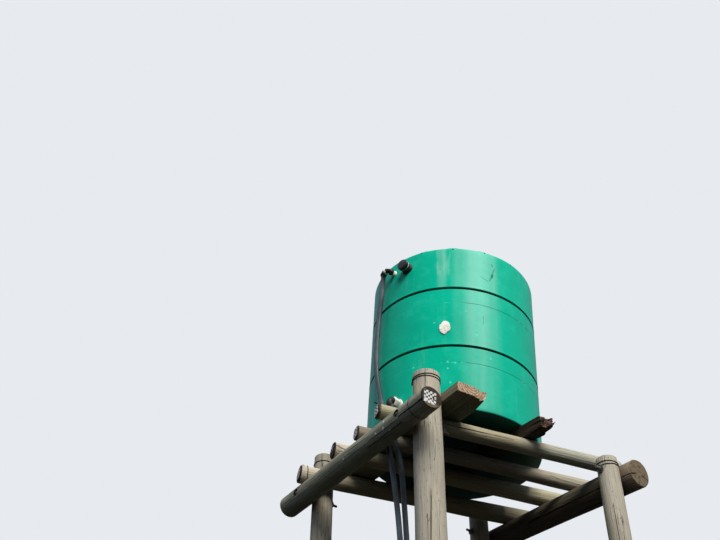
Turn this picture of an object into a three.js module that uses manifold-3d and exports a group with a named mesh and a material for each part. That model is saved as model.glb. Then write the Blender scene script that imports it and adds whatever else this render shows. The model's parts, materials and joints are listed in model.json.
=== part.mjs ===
// A farm water tower: a moulded plastic tank on a stand of peeled round poles.
// Millimetres, +Z up, post feet on z = 0, front of the stand towards -Y.

import * as THREE from 'three';
import { mergeVertices } from 'three/addons/utils/BufferGeometryUtils.js';
import Module from 'manifold-3d';

const wasm = await Module();
wasm.setup();

// Clearance left between neighbouring pieces
const GAP = 0.3;

// Tank
const TANK_RADIUS = 550;
const TANK_WALL = 7;
const TANK_RIM_HEIGHT = 1271;
const GROOVE_HEIGHTS = [ 465, 929 ];
const GROOVE_DEPTH = 9;
const ROOF_RISE = 110;
const ROOF_RIBS = 16;
const MANHOLE_RADIUS = 190;

// Stand: the tank's underside is this high above the ground, and the platform leans a little
const TANK_BASE_HEIGHT = 4900;
const LEAN_RIGHT = THREE.MathUtils.degToRad( 2.0 );
const LEAN_FORWARD = THREE.MathUtils.degToRad( 1.2 );
const PLANK_THICKNESS = 62;
const BEAM_TOP = - 147;

// Posts and pipes are made this much too long at the foot, then trimmed level
const BELOW_GROUND = 20;

const POLE_SIDES = 16;
const WIRE_RADIUS = 2.5;
const ROD_RADIUS = 8;
const PIPE_RADIUS = 16;

const MATERIALS = {
	pole: { color: 0x8d8371, roughness: 0.9 },
	plank: { color: 0x6f5744, roughness: 0.9 },
	tank: { color: 0x12936f, roughness: 0.45 },
	fitting: { color: 0x1b1c1e, roughness: 0.5 },
	nut: { color: 0xd6d4cc, roughness: 0.5 },
	steel: { color: 0x9a9c9e, roughness: 0.5, metalness: 0.8 },
	wire: { color: 0x34322f, roughness: 0.7, metalness: 0.6 }
};

const part = new THREE.Group();
part.name = 'water_tower';

// Solids

// Turns a closed geometry into a solid that booleans can work on.
function solid( geometry ) {

	const bare = new THREE.BufferGeometry();
	bare.setAttribute( 'position', geometry.getAttribute( 'position' ) );
	if ( geometry.index ) bare.setIndex( geometry.index );
	const welded = mergeVertices( bare, 1e-3 );
	const corners = welded.index.array;
	const kept = [];
	for ( let i = 0; i < corners.length; i += 3 ) {

		const [ a, b, c ] = corners.slice( i, i + 3 );
		if ( a !== b && b !== c && c !== a ) kept.push( a, b, c );

	}

	return new wasm.Manifold( new wasm.Mesh( {
		numProp: 3,
		vertProperties: Float32Array.from( welded.getAttribute( 'position' ).array ),
		triVerts: Uint32Array.from( kept )
	} ) );

}

function geometryOf( body ) {

	const mesh = body.getMesh();
	const geometry = new THREE.BufferGeometry();
	geometry.setAttribute( 'position', new THREE.BufferAttribute( mesh.vertProperties, 3 ) );
	geometry.setIndex( new THREE.BufferAttribute( mesh.triVerts, 1 ) );
	const facets = geometry.toNonIndexed();
	facets.computeVertexNormals();
	return facets;

}

function cut( body, tools ) {

	return tools.reduce( ( rest, tool ) => rest.subtract( tool ), body );

}

function join( bodies ) {

	return bodies.reduce( ( whole, body ) => whole.add( body ) );

}

function add( name, body, slot ) {

	const material = new THREE.MeshStandardMaterial( MATERIALS[ slot ] );
	material.name = slot;
	const mesh = new THREE.Mesh( geometryOf( body ), material );
	mesh.name = name;
	part.add( mesh );

}

// Platform frame: its origin is the centre of the tank's underside.
const platform = new THREE.Matrix4()
	.makeTranslation( 0, 0, TANK_BASE_HEIGHT )
	.multiply( new THREE.Matrix4().makeRotationY( LEAN_RIGHT ) )
	.multiply( new THREE.Matrix4().makeRotationX( LEAN_FORWARD ) );

function onPlatform( x, y, z ) {

	return new THREE.Vector3( x, y, z ).applyMatrix4( platform );

}

// Poles

// A pole's centre line and radius at a share t of its length, from butt to tip.
function poleFrame( pole ) {

	const axis = pole.to.clone().sub( pole.from );
	const length = axis.length();
	axis.normalize();
	const side = Math.abs( axis.z ) > 0.9 ? new THREE.Vector3( 1, 0, 0 ) : new THREE.Vector3( 0, 0, 1 );
	const v = axis.clone().cross( side ).normalize();
	const u = v.clone().cross( axis );
	return { axis, length, u, v };

}

function polePoint( pole, along, angle, lift ) {

	const { axis, length, u, v } = poleFrame( pole );
	const t = along / length;
	const lobes = 0.02 * Math.cos( 2 * angle + pole.seed ) + 0.01 * Math.cos( 3 * angle + 2 * pole.seed );
	const oval = 1 + lobes;
	const radius = THREE.MathUtils.lerp( pole.butt, pole.tip, t ) * oval + lift;
	const bow = pole.bow * Math.sin( Math.PI * t );
	return pole.from.clone()
		.addScaledVector( axis, along )
		.addScaledVector( u, radius * Math.cos( angle ) + bow )
		.addScaledVector( v, radius * Math.sin( angle ) );

}

// The pole as a closed body. A grown one, larger by `grow` all round, cuts the seat for it.
function poleBody( pole, grow = 0 ) {

	const { length } = poleFrame( pole );
	const chamfer = 7;
	const stations = [ [ - grow, - chamfer ], [ chamfer - grow, 0 ] ];
	for ( let i = 1; i < pole.bays; i ++ ) stations.push( [ length * i / pole.bays, 0 ] );
	stations.push( [ length - chamfer + grow, 0 ], [ length + grow, - chamfer ] );

	const points = [];
	const faces = [];
	for ( const [ along, inset ] of stations ) {

		for ( let k = 0; k < POLE_SIDES; k ++ ) {

			points.push( ...polePoint( pole, along, 2 * Math.PI * k / POLE_SIDES, grow + inset ).toArray() );

		}

	}

	for ( let i = 0; i + 1 < stations.length; i ++ ) {

		for ( let k = 0; k < POLE_SIDES; k ++ ) {

			const a = i * POLE_SIDES + k;
			const b = i * POLE_SIDES + ( k + 1 ) % POLE_SIDES;
			faces.push( a, b, b + POLE_SIDES, a, b + POLE_SIDES, a + POLE_SIDES );

		}

	}

	const last = ( stations.length - 1 ) * POLE_SIDES;
	for ( let k = 1; k + 1 < POLE_SIDES; k ++ ) {

		faces.push( 0, k + 1, k, last, last + k, last + k + 1 );

	}

	return solid( indexed( points, faces ) );

}

function indexed( points, faces ) {

	const geometry = new THREE.BufferGeometry();
	geometry.setAttribute( 'position', new THREE.Float32BufferAttribute( points, 3 ) );
	geometry.setIndex( faces );
	return geometry;

}

// Wire wound round a pole: a closed ring for one turn, a helix for more.
function wireBody( { pole, along, turns }, grow = 0 ) {

	const { axis } = poleFrame( pole );
	const radius = WIRE_RADIUS + grow;
	const sides = 5;
	const pitch = 20;
	const closed = turns === 1;
	const steps = turns * POLE_SIDES;
	const count = closed ? steps : steps + 1;
	const points = [];
	const faces = [];
	for ( let i = 0; i < count; i ++ ) {

		const angle = 2 * Math.PI * i / POLE_SIDES;
		const at = along + ( closed ? 0 : pitch * i / POLE_SIDES );
		const centre = polePoint( pole, at, angle, WIRE_RADIUS + GAP );
		const out = polePoint( pole, at, angle, 100 ).sub( centre ).normalize();
		for ( let k = 0; k < sides; k ++ ) {

			const turn = 2 * Math.PI * k / sides;
			points.push( ...centre.clone()
				.addScaledVector( out, radius * Math.cos( turn ) )
				.addScaledVector( axis, radius * Math.sin( turn ) ).toArray() );

		}

	}

	for ( let i = 0; i < steps; i ++ ) {

		for ( let k = 0; k < sides; k ++ ) {

			const here = i * sides;
			const next = ( ( i + 1 ) % count ) * sides;
			const l = ( k + 1 ) % sides;
			faces.push( here + k, next + l, here + l, here + k, next + k, next + l );

		}

	}

	if ( ! closed ) {

		const end = steps * sides;
		for ( let k = 1; k + 1 < sides; k ++ ) faces.push( 0, k, k + 1, end, end + k + 1, end + k );

	}

	return solid( indexed( points, faces ) );

}

// A beam or joist lies in the platform frame. Its turn is the plan angle from +Y or +X.
function beam( { x, turn, near, far, butt, tip, seed, bow } ) {

	const slope = Math.tan( THREE.MathUtils.degToRad( turn ) );
	const place = ( y, radius ) => onPlatform( x - y * slope, y, BEAM_TOP - radius );
	return { from: place( near, butt ), to: place( far, tip ), butt, tip, seed, bow, bays: 8 };

}

function joist( { y, turn, left, right, radius, seed, bow } ) {

	const z = - PLANK_THICKNESS - radius + 3;
	const slope = Math.tan( THREE.MathUtils.degToRad( turn ) );
	const place = ( x ) => onPlatform( x, y + x * slope, z );
	return { from: place( left ), to: place( right ), butt: radius, tip: radius, seed, bow, bays: 8 };

}

const BEAMS = {
	left: { x: - 701.5, turn: 13.7, near: - 869, far: 661, butt: 69, tip: 69, seed: 0.4, bow: 0 },
	right: { x: 684, turn: 18.6, near: - 643, far: 640, butt: 86, tip: 70, seed: 2.1, bow: 0 }
};
const JOISTS = [
	{ y: - 456, turn: 0.4, left: - 668, right: 885, radius: 47, seed: 1.3, bow: 0 },
	{ y: - 180, turn: 0.9, left: - 703, right: 830, radius: 46, seed: 3.2, bow: 3 },
	{ y: 54, turn: 0.3, left: - 770, right: 760, radius: 51, seed: 4.4, bow: - 3 },
	{ y: 367, turn: - 1.7, left: - 883, right: 670, radius: 57, seed: 5.1, bow: 0 }
];

const beams = { left: beam( BEAMS.left ), right: beam( BEAMS.right ) };
const joists = JOISTS.map( joist );

// A post stands beside its beam and is let in to it. Its foot may stand a little aside.
function post( { x, y, tip, butt, top, foot, seed, bow } ) {

	const head = onPlatform( x, y, BEAM_TOP );
	const at = new THREE.Vector3( head.x, head.y, TANK_BASE_HEIGHT + top );
	const base = new THREE.Vector3( head.x + foot[ 0 ], head.y + foot[ 1 ], - BELOW_GROUND );
	return { from: base, to: at, butt, tip, seed, bow, bays: 10 };

}

const posts = {
	near: post( { x: - 406, y: - 591, tip: 81, butt: 98, top: 130, foot: [ 0, 0 ], seed: 0.9, bow: 6 } ),
	left: post( { x: - 690, y: 499, tip: 64, butt: 86, top: 137, foot: [ 0, 0 ], seed: 2.6, bow: - 8 } ),
	right: post( { x: 734, y: - 571, tip: 62, butt: 80, top: - 180, foot: [ 48, - 30 ], seed: 3.7, bow: 8 } ),
	back: post( { x: 382, y: 489, tip: 62, butt: 78, top: - 90, foot: [ 0, 0 ], seed: 5.5, bow: 5 } )
};

// Bodies of revolution

// Turns a closed profile of [ radius, height ] about +Z. `shape` may change a point by its angle.
function revolve( profile, sides, shape = ( r, z ) => [ r, z ] ) {

	const points = [];
	const faces = [];
	for ( let i = 0; i < sides; i ++ ) {

		const angle = 2 * Math.PI * i / sides;
		for ( const [ r, z, weight = 0 ] of profile ) {

			const [ radius, height ] = shape( r, z, angle, weight );
			points.push( radius * Math.cos( angle ), radius * Math.sin( angle ), height );

		}

	}

	const n = profile.length;
	for ( let i = 0; i < sides; i ++ ) {

		for ( let j = 0; j < n; j ++ ) {

			const a = i * n + j;
			const b = ( ( i + 1 ) % sides ) * n + j;
			const up = i * n + ( j + 1 ) % n;
			const upNext = ( ( i + 1 ) % sides ) * n + ( j + 1 ) % n;
			faces.push( a, b, upNext, a, upNext, up );

		}

	}

	return solid( indexed( points, faces ) );

}

function rod( from, to, radius, sides = 16 ) {

	const axis = to.clone().sub( from );
	const geometry = new THREE.CylinderGeometry( radius, radius, axis.length(), sides );
	geometry.applyQuaternion( new THREE.Quaternion()
		.setFromUnitVectors( new THREE.Vector3( 0, 1, 0 ), axis.clone().normalize() ) );
	const middle = from.clone().add( to ).multiplyScalar( 0.5 );
	geometry.translate( middle.x, middle.y, middle.z );
	return solid( geometry );

}

// A round bar along a smooth path through the points.
function bar( points, radius, steps ) {

	const circle = new THREE.Shape().absarc( 0, 0, radius, 0, 2 * Math.PI );
	const path = new THREE.CatmullRomCurve3( points, false, 'centripetal' );
	return solid( new THREE.ExtrudeGeometry( circle, { extrudePath: path, steps, curveSegments: 5 } ) );

}

// Tank, built in the platform frame

const FLOOR_EDGE = 30;
const wallTop = TANK_RIM_HEIGHT - 15;

function grooved( inset ) {

	const line = [ [ TANK_RADIUS - inset, FLOOR_EDGE + GAP ] ];
	for ( const height of GROOVE_HEIGHTS ) {

		line.push(
			[ TANK_RADIUS - inset, height - 20 ],
			[ TANK_RADIUS - inset - GROOVE_DEPTH, height - 12 ],
			[ TANK_RADIUS - inset - GROOVE_DEPTH, height + 8 ],
			[ TANK_RADIUS - inset, height + 14 ]
		);

	}

	line.push( [ TANK_RADIUS - inset, wallTop ] );
	return line;

}

const tankWall = revolve( [ ...grooved( 0 ), ...grooved( TANK_WALL ).reverse() ], 48 );

const tankFloor = revolve( [
	[ 0, 0 ],
	[ 536, 0 ],
	[ 546, 4 ],
	[ TANK_RADIUS, 13 ],
	[ TANK_RADIUS, FLOOR_EDGE ],
	[ TANK_RADIUS - TANK_WALL, FLOOR_EDGE ],
	[ TANK_RADIUS - TANK_WALL, 24 ],
	[ 535, 14 ],
	[ 522, TANK_WALL ],
	[ 0, TANK_WALL ]
], 48 );

function domeHeight( r ) {

	const share = ( r - MANHOLE_RADIUS ) / ( TANK_RADIUS - MANHOLE_RADIUS );
	return TANK_RIM_HEIGHT + ROOF_RISE * ( 1 - share * share );

}

const domeRadii = [ 535, 450, 340, 240, MANHOLE_RADIUS + 15 ];
const neckTop = domeHeight( MANHOLE_RADIUS ) + 46;
const tankRoof = revolve( [
	[ TANK_RADIUS, wallTop + GAP ],
	[ TANK_RADIUS, TANK_RIM_HEIGHT - 4 ],
	[ TANK_RADIUS - 5, TANK_RIM_HEIGHT + 4, 0.5 ],
	...domeRadii.map( ( r ) => [ r, domeHeight( r ), r > 220 ? 1 : 0 ] ),
	[ MANHOLE_RADIUS + 12, neckTop ],
	[ MANHOLE_RADIUS, neckTop ],
	[ MANHOLE_RADIUS, domeHeight( MANHOLE_RADIUS ) - TANK_WALL ],
	...domeRadii.slice( 0, - 1 ).reverse().map( ( r ) => [ r, domeHeight( r ) - TANK_WALL ] ),
	[ TANK_RADIUS - TANK_WALL, TANK_RIM_HEIGHT - 8 ],
	[ TANK_RADIUS - TANK_WALL, wallTop + GAP ]
], ROOF_RIBS * 4, ( r, z, angle, weight ) => {

	const turn = ( angle * ROOF_RIBS / ( 2 * Math.PI ) ) % 1;
	const onRib = turn < 0.2 || turn > 0.8;
	return [ r, onRib ? z + 12 * weight : z ];

} );

const lidRadius = MANHOLE_RADIUS + 28;
const manholeLid = revolve( [
	[ 0, neckTop + GAP ],
	[ MANHOLE_RADIUS + 17, neckTop + GAP ],
	[ MANHOLE_RADIUS + 17, neckTop - 28 ],
	[ lidRadius, neckTop - 28, 1 ],
	[ lidRadius, neckTop + 8, 1 ],
	[ lidRadius - 12, neckTop + 16 ],
	[ 60, neckTop + 28 ],
	[ 0, neckTop + 28 ]
], 48, ( r, z, angle, weight ) => [ r + 4 * weight * Math.cos( 12 * angle ), z ] );

// Fittings on the wall: `azimuth` in degrees about the tank, `out` measured from the tank's axis

function radial( azimuth, out, height ) {

	const angle = THREE.MathUtils.degToRad( azimuth );
	return new THREE.Vector3( out * Math.cos( angle ), out * Math.sin( angle ), height );

}

const wallRound = revolve( [
	[ 0, - 50 ],
	[ TANK_RADIUS + GAP, - 50 ],
	[ TANK_RADIUS + GAP, 1500 ],
	[ 0, 1500 ]
], 48 );

function disc( azimuth, height, from, to, radius, sides = 24 ) {

	return rod( radial( azimuth, from, height ), radial( azimuth, to, height ), radius, sides );

}

const OVERFLOW = { azimuth: - 146, height: 1165 };
const INLET = { azimuth: - 158, height: 1184 };
const OUTLET = { azimuth: - 150, height: 97 };

const overflowSpout = cut( join( [
	disc( OVERFLOW.azimuth, OVERFLOW.height, 540, 560, 46 ),
	disc( OVERFLOW.azimuth, OVERFLOW.height, 555, 598, 34 )
] ), [ wallRound ] );
const overflowCap = join( [
	disc( OVERFLOW.azimuth, OVERFLOW.height, 598 + GAP, 614, 38 ),
	disc( OVERFLOW.azimuth, OVERFLOW.height, 613, 620, 20 )
] );

const inletNut = cut( join( [
	disc( INLET.azimuth, INLET.height, 540, 557, 30 ),
	disc( INLET.azimuth, INLET.height, 556, 572, 24, 6 )
] ), [ wallRound ] );

// Everything past a point, along a direction: parts two pipes that meet end to end
function beyond( [ x, y, z ], [ dx, dy, dz ] ) {

	const at = new THREE.Vector3( x, y, z );
	const along = new THREE.Vector3( dx, dy, dz ).normalize();
	return rod( at, at.clone().addScaledVector( along, 90 ), 45, 24 );

}

const RISER_TOP = [ - 571, - 153, 1160 ];
const inletElbow = cut( bar( [
	radial( INLET.azimuth, 564, INLET.height ),
	radial( INLET.azimuth, 584, INLET.height + 1 ),
	radial( INLET.azimuth - 1.5, 600, INLET.height - 1 ),
	new THREE.Vector3( - 574, - 165, INLET.height - 10 ),
	new THREE.Vector3( ...RISER_TOP ),
	new THREE.Vector3( - 571, - 150, 1136 )
], 19, 14 ), [
	disc( INLET.azimuth, INLET.height, 530, 572 + GAP, 60 ),
	beyond( RISER_TOP, [ 0, 0, - 1 ] )
] );

// Outlet at the foot of the wall, with the start of its down pipe
const outletNut = cut( join( [
	disc( OUTLET.azimuth, OUTLET.height, 540, 557, 39 ),
	disc( OUTLET.azimuth, OUTLET.height, 556, 588, 33, 6 )
] ), [ wallRound ] );
const OUTLET_TOP = [ - 516, - 299, OUTLET.height - 50 ];
const outletElbow = cut( bar( [
	radial( OUTLET.azimuth, 576, OUTLET.height ),
	radial( OUTLET.azimuth, 604, OUTLET.height - 1 ),
	radial( OUTLET.azimuth, 616, OUTLET.height - 16 ),
	new THREE.Vector3( ...OUTLET_TOP ),
	new THREE.Vector3( - 515, - 300, OUTLET.height - 70 )
], 21, 16 ), [
	disc( OUTLET.azimuth, OUTLET.height, 530, 588 + GAP, 60 ),
	beyond( OUTLET_TOP, [ 0, 0, - 1 ] )
] );

// Pipes: the feed rises from the ground to the inlet, the outlet pipe drops beside it
const riserPath = [
	[ - 572, - 157, 1178 ],
	RISER_TOP,
	[ - 570, - 130, 1040 ],
	[ - 575, - 104, 684 ],
	[ - 572, - 114, 439 ],
	[ - 556, - 188, 164 ],
	[ - 548, - 245, 0 ],
	[ - 541, - 296, - 160 ]
].map( ( p ) => onPlatform( ...p ) );
const outletPath = [
	[ - 516, - 298, OUTLET.height - 40 ],
	OUTLET_TOP,
	[ - 513, - 301, 0 ],
	[ - 508, - 301, - 100 ],
	[ - 494, - 302, - 167 ],
	[ - 474, - 307, - 240 ]
].map( ( p ) => onPlatform( ...p ) );
const dropped = ( [ x, y, drop ] ) => new THREE.Vector3( x, y, TANK_BASE_HEIGHT - drop );

const ground = rod( new THREE.Vector3( 0, 0, - 200 ), new THREE.Vector3(), 3000, 8 );
const platformElements = platform.toArray();
const below = ( [ x, y, z ] ) => beyond( [ x, y, z - GAP ], [ 0, 0, 1 ] ).transform( platformElements );
const riserPipe = cut( bar( [
	...riserPath,
	...[
		[ - 533, - 327, 340 ],
		[ - 508, - 335, 563 ],
		[ - 489, - 341, 820 ],
		[ - 410, - 365, 2300 ],
		[ - 370, - 380, 3900 ],
		[ - 365, - 382, TANK_BASE_HEIGHT + BELOW_GROUND ]
	].map( dropped )
], PIPE_RADIUS, 34 ), [ below( RISER_TOP ), ground ] );
const outletPipe = cut( bar( [
	...outletPath,
	...[
		[ - 464, - 311, 380 ],
		[ - 455, - 314, 542 ],
		[ - 443, - 318, 800 ],
		[ - 370, - 335, 2300 ],
		[ - 320, - 350, 3900 ],
		[ - 315, - 352, TANK_BASE_HEIGHT + BELOW_GROUND ]
	].map( dropped )
], PIPE_RADIUS, 30 ), [ below( OUTLET_TOP ), ground ] );

// Planks: sawn boards along the beams, under the tank. The outline is given in the board's own
// plan: across to the right, along to the back, from the middle of the near end.
function plankBody( { x, y, turn, outline }, grow = 0 ) {

	const shape = new THREE.Shape( outline.map( ( corner ) => new THREE.Vector2( ...corner ) ) );
	const geometry = new THREE.ExtrudeGeometry( shape, {
		depth: PLANK_THICKNESS - GAP + grow,
		bevelEnabled: false
	} );
	geometry.rotateZ( THREE.MathUtils.degToRad( turn ) );
	geometry.translate( x, y, - PLANK_THICKNESS - grow );
	return solid( geometry.applyMatrix4( platform ) );

}

const PLANKS = {
	left: {
		x: - 197, y: - 754, turn: 15,
		outline: [ [ - 105, 0 ], [ 104, 0 ], [ 104, 1330 ], [ - 104, 1342 ] ]
	},
	right: {
		x: 322, y: - 622, turn: 20.3,
		outline: [
			[ - 52, 0 ], [ 10, - 10 ], [ 22, - 50 ], [ 34, 40 ], [ 52, 125 ], [ 52, 1214 ], [ - 52, 1205 ]
		]
	}
};

// A bolt goes square through the beam and through the middle of the post. Its head is sunk in the
// beam's outer side, and the rod stands out behind the post.
function bolt( side, foot, tail ) {

	const held = BEAMS[ side ];
	const turn = THREE.MathUtils.degToRad( held.turn );
	const inward = side === 'left' ? 1 : - 1;
	const pole = posts[ foot ];
	const middle = poleReach( pole );
	const apart = inward * ( middle.x - held.x + middle.y * Math.tan( turn ) ) * Math.cos( turn );
	const along = ( middle.y - inward * apart * Math.sin( turn ) - held.near ) / ( held.far - held.near );
	const radius = THREE.MathUtils.lerp( held.butt, held.tip, along );
	const place = ( distance ) => onPlatform(
		middle.x + inward * ( distance - apart ) * Math.cos( turn ),
		middle.y + inward * ( distance - apart ) * Math.sin( turn ),
		BEAM_TOP - radius
	);
	const back = apart + pole.tip + 2;
	const sink = radius - 20;
	return {
		body: ( grow = 0 ) => join( [
			rod( place( - sink - 16 - grow ), place( back + tail + grow ), ROD_RADIUS + grow, 8 ),
			rod( place( - sink - grow ), place( - sink + 4 + grow ), 20 + grow, 12 ),
			rod( place( - sink - 10 - grow ), place( - sink + 1 + grow ), 13 + grow, 6 ),
			rod( place( back - 6 - grow ), place( back + 2 + grow ), 24 + grow, 12 ),
			rod( place( back + 1 - grow ), place( back + 13 + grow ), 13 + grow, 6 )
		] ),
		bore: () => rod( place( - sink + GAP ), place( - radius - 20 ), 20 + GAP, 12 )
	};

}

// Where a post's axis passes its beam, in platform coordinates
function poleReach( pole ) {

	const inverse = platform.clone().invert();
	const height = TANK_BASE_HEIGHT + BEAM_TOP - 70;
	const t = height / pole.to.z;
	const at = pole.from.clone().lerp( pole.to, t );
	at.z = height;
	return at.applyMatrix4( inverse );

}

const bolts = {
	near: bolt( 'left', 'near', 60 ),
	left: bolt( 'left', 'left', 38 ),
	right: bolt( 'right', 'right', 38 ),
	back: bolt( 'right', 'back', 46 )
};

// Nail plates on the sawn ends keep the poles from splitting
function plateBody( pole, atTip, width, height, shift = [ 0, 0 ] ) {

	const { axis, u } = poleFrame( pole );
	const end = atTip ? pole.to : pole.from;
	const out = axis.clone().multiplyScalar( atTip ? 1 : - 1 );
	const basis = new THREE.Matrix4().makeBasis( u, out.clone().cross( u ), out );
	basis.setPosition( end.clone().addScaledVector( out, GAP + 0.75 ) );
	basis.multiply( new THREE.Matrix4().makeTranslation( shift[ 1 ], shift[ 0 ], 0 ) );
	return solid( new THREE.BoxGeometry( height, width, 1.5 ).applyMatrix4( basis ) );

}

// Wires wound round the pole ends
const postWire = ( name, drop, turns ) => {

	const pole = posts[ name ];
	return { pole, along: poleFrame( pole ).length - drop, turns };

};

const wires = {
	post_near: postWire( 'near', 59, 2 ),
	post_left: postWire( 'left', 60, 1 ),
	post_right: postWire( 'right', 54, 2 ),
	beam_left: { pole: beams.left, along: 125, turns: 1 }
};

// Assembly: each piece is cut by the grown form of what is let in to it

const grownBeams = Object.values( beams ).map( ( pole ) => poleBody( pole, GAP ) );
const grownJoists = joists.map( ( pole ) => poleBody( pole, GAP ) );
const grownBolts = Object.values( bolts ).map( ( b ) => b.body( GAP ) );
const bores = Object.values( bolts ).map( ( b ) => b.bore() );
const grownPlanks = Object.values( PLANKS ).map( ( plank ) => plankBody( plank, GAP ) );
const grownWires = [ 'post_near', 'post_left', 'post_right' ].map( ( name ) => wireBody( wires[ name ], GAP ) );
const grownPosts = Object.values( posts ).map( ( pole ) => poleBody( pole, GAP ) );

for ( const [ name, pole ] of Object.entries( posts ) ) {

	const body = cut( poleBody( pole ), [ ground, ...grownBeams, ...grownJoists, ...grownBolts ] );
	add( 'post_' + name, body, 'pole' );

}

for ( const [ name, pole ] of Object.entries( beams ) ) {

	add( 'beam_' + name, cut( poleBody( pole ), [ ...grownBolts, ...bores, ...grownWires ] ), 'pole' );

}

joists.forEach( ( pole, i ) => {

	const letIn = [ ...grownBeams, ...grownPlanks, ...grownBolts, ...grownWires ];
	add( 'joist_' + ( i + 1 ), cut( poleBody( pole ), letIn ), 'pole' );

} );

for ( const [ name, plank ] of Object.entries( PLANKS ) ) {

	add( 'plank_' + name, cut( plankBody( plank ), grownPosts ), 'plank' );

}

for ( const [ name, b ] of Object.entries( bolts ) ) add( 'bolt_' + name, b.body(), 'steel' );

add( 'plate_beam_left', plateBody( beams.left, false, 79, 78, [ 12, - 6 ] ), 'steel' );
for ( const i of [ 0, 1, 2, 3 ] ) {

	add( 'plate_joist_' + ( i + 1 ), plateBody( joists[ i ], false, 54, 62 ), 'steel' );

}

for ( const [ name, wire ] of Object.entries( wires ) ) add( 'wire_' + name, wireBody( wire ), 'wire' );

const onTank = {
	tank_floor: [ tankFloor, 'tank' ],
	tank_wall: [ tankWall, 'tank' ],
	tank_roof: [ tankRoof, 'tank' ],
	manhole_lid: [ manholeLid, 'tank' ],
	overflow_spout: [ overflowSpout, 'fitting' ],
	overflow_cap: [ overflowCap, 'fitting' ],
	inlet_nut: [ inletNut, 'nut' ],
	inlet_elbow: [ inletElbow, 'fitting' ],
	outlet_nut: [ outletNut, 'nut' ],
	outlet_elbow: [ outletElbow, 'fitting' ]
};
for ( const [ name, [ body, slot ] ] of Object.entries( onTank ) ) {

	add( name, body.transform( platformElements ), slot );

}

add( 'riser_pipe', riserPipe, 'fitting' );
add( 'outlet_pipe', outletPipe, 'fitting' );

// The frame's origin is the middle of the footprint, on the ground.
const bounds = new THREE.Box3().setFromObject( part );
const middle = bounds.getCenter( new THREE.Vector3() );
part.position.set( - middle.x, - middle.y, - bounds.min.z );

export default part;
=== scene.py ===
# Farm water tower: a green moulded tank on a stand of bolted round poles
import json
import math

import bpy
import numpy as np
from mathutils import Matrix, Vector

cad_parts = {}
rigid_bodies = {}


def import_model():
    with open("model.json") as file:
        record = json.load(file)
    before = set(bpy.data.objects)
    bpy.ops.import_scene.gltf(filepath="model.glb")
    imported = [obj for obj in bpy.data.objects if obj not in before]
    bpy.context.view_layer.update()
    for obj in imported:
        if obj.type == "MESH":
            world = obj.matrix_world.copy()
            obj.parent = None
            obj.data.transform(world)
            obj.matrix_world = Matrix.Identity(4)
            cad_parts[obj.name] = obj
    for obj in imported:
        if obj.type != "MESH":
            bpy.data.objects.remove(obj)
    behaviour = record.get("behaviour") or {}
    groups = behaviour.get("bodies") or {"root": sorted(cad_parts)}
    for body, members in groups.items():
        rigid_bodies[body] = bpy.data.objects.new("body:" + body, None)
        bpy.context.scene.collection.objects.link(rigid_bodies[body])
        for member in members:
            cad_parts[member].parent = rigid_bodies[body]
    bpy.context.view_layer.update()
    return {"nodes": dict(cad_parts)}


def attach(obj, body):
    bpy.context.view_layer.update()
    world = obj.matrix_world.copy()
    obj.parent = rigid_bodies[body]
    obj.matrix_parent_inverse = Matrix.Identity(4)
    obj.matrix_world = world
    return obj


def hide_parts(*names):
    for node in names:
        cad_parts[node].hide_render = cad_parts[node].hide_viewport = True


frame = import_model()
nodes = frame["nodes"]


# Camera, at a standing person's eye, looking up

cameraView = {
    "place": (-2.298, -4.979, 1.549),
    "lens": 50.88,
    "sensorWidth": 36.0,
    "turn": -17.88,
    "tilt": 41.54,
    "roll": 1.26,
}


def turnAbout(axis, degrees):
    return Matrix.Rotation(math.radians(degrees), 4, axis)


def addCamera(view):
    bpy.ops.object.camera_add()
    camera = bpy.context.active_object
    camera.name = "camera"
    camera.matrix_world = (
        Matrix.Translation(view["place"])
        @ turnAbout("Z", view["turn"])
        @ turnAbout("X", 90 + view["tilt"])
        @ turnAbout("Z", view["roll"])
    )
    camera.data.sensor_fit = "HORIZONTAL"
    camera.data.sensor_width = view["sensorWidth"]
    camera.data.lens = view["lens"]
    camera.data.clip_end = 200
    bpy.context.scene.camera = camera


addCamera(cameraView)
bpy.context.scene.view_settings.view_transform = "Standard"


# Small helpers for working on a mesh as by hand


def clearSelection():
    bpy.ops.object.select_all(action="DESELECT")


def named(name):
    piece = bpy.context.active_object
    piece.name = name
    piece.data.name = name
    return piece


def objectMode():
    if bpy.context.mode != "OBJECT":
        bpy.ops.object.mode_set(mode="OBJECT")


def makeActive(piece):
    objectMode()
    clearSelection()
    piece.select_set(True)
    bpy.context.view_layer.objects.active = piece


def vertexPoints(piece):
    objectMode()
    points = np.empty(len(piece.data.vertices) * 3)
    piece.data.vertices.foreach_get("co", points)
    return points.reshape(-1, 3)


def faceFacts(piece):
    objectMode()
    faces = piece.data.polygons
    centres = np.empty(len(faces) * 3)
    normals = np.empty(len(faces) * 3)
    faces.foreach_get("center", centres)
    faces.foreach_get("normal", normals)
    return centres.reshape(-1, 3), normals.reshape(-1, 3)


def setSelection(piece, kind, wanted):
    # the tests below get arrays, and give back which vertices, edges or faces are wanted
    mesh = piece.data
    parts = {"VERT": mesh.vertices, "EDGE": mesh.edges, "FACE": mesh.polygons}
    for name, items in parts.items():
        flags = wanted if name == kind else np.zeros(len(items), bool)
        items.foreach_set("select", flags.astype(bool))
    bpy.context.tool_settings.mesh_select_mode = tuple(name == kind for name in parts)
    makeActive(piece)
    bpy.ops.object.mode_set(mode="EDIT")


def pickPoints(piece, test):
    setSelection(piece, "VERT", test(vertexPoints(piece)))


def pickEdges(piece, test):
    points = vertexPoints(piece)
    pairs = np.empty(len(piece.data.edges) * 2, int)
    piece.data.edges.foreach_get("vertices", pairs)
    pairs = pairs.reshape(-1, 2)
    setSelection(piece, "EDGE", test(points[pairs[:, 0]], points[pairs[:, 1]]))


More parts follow.
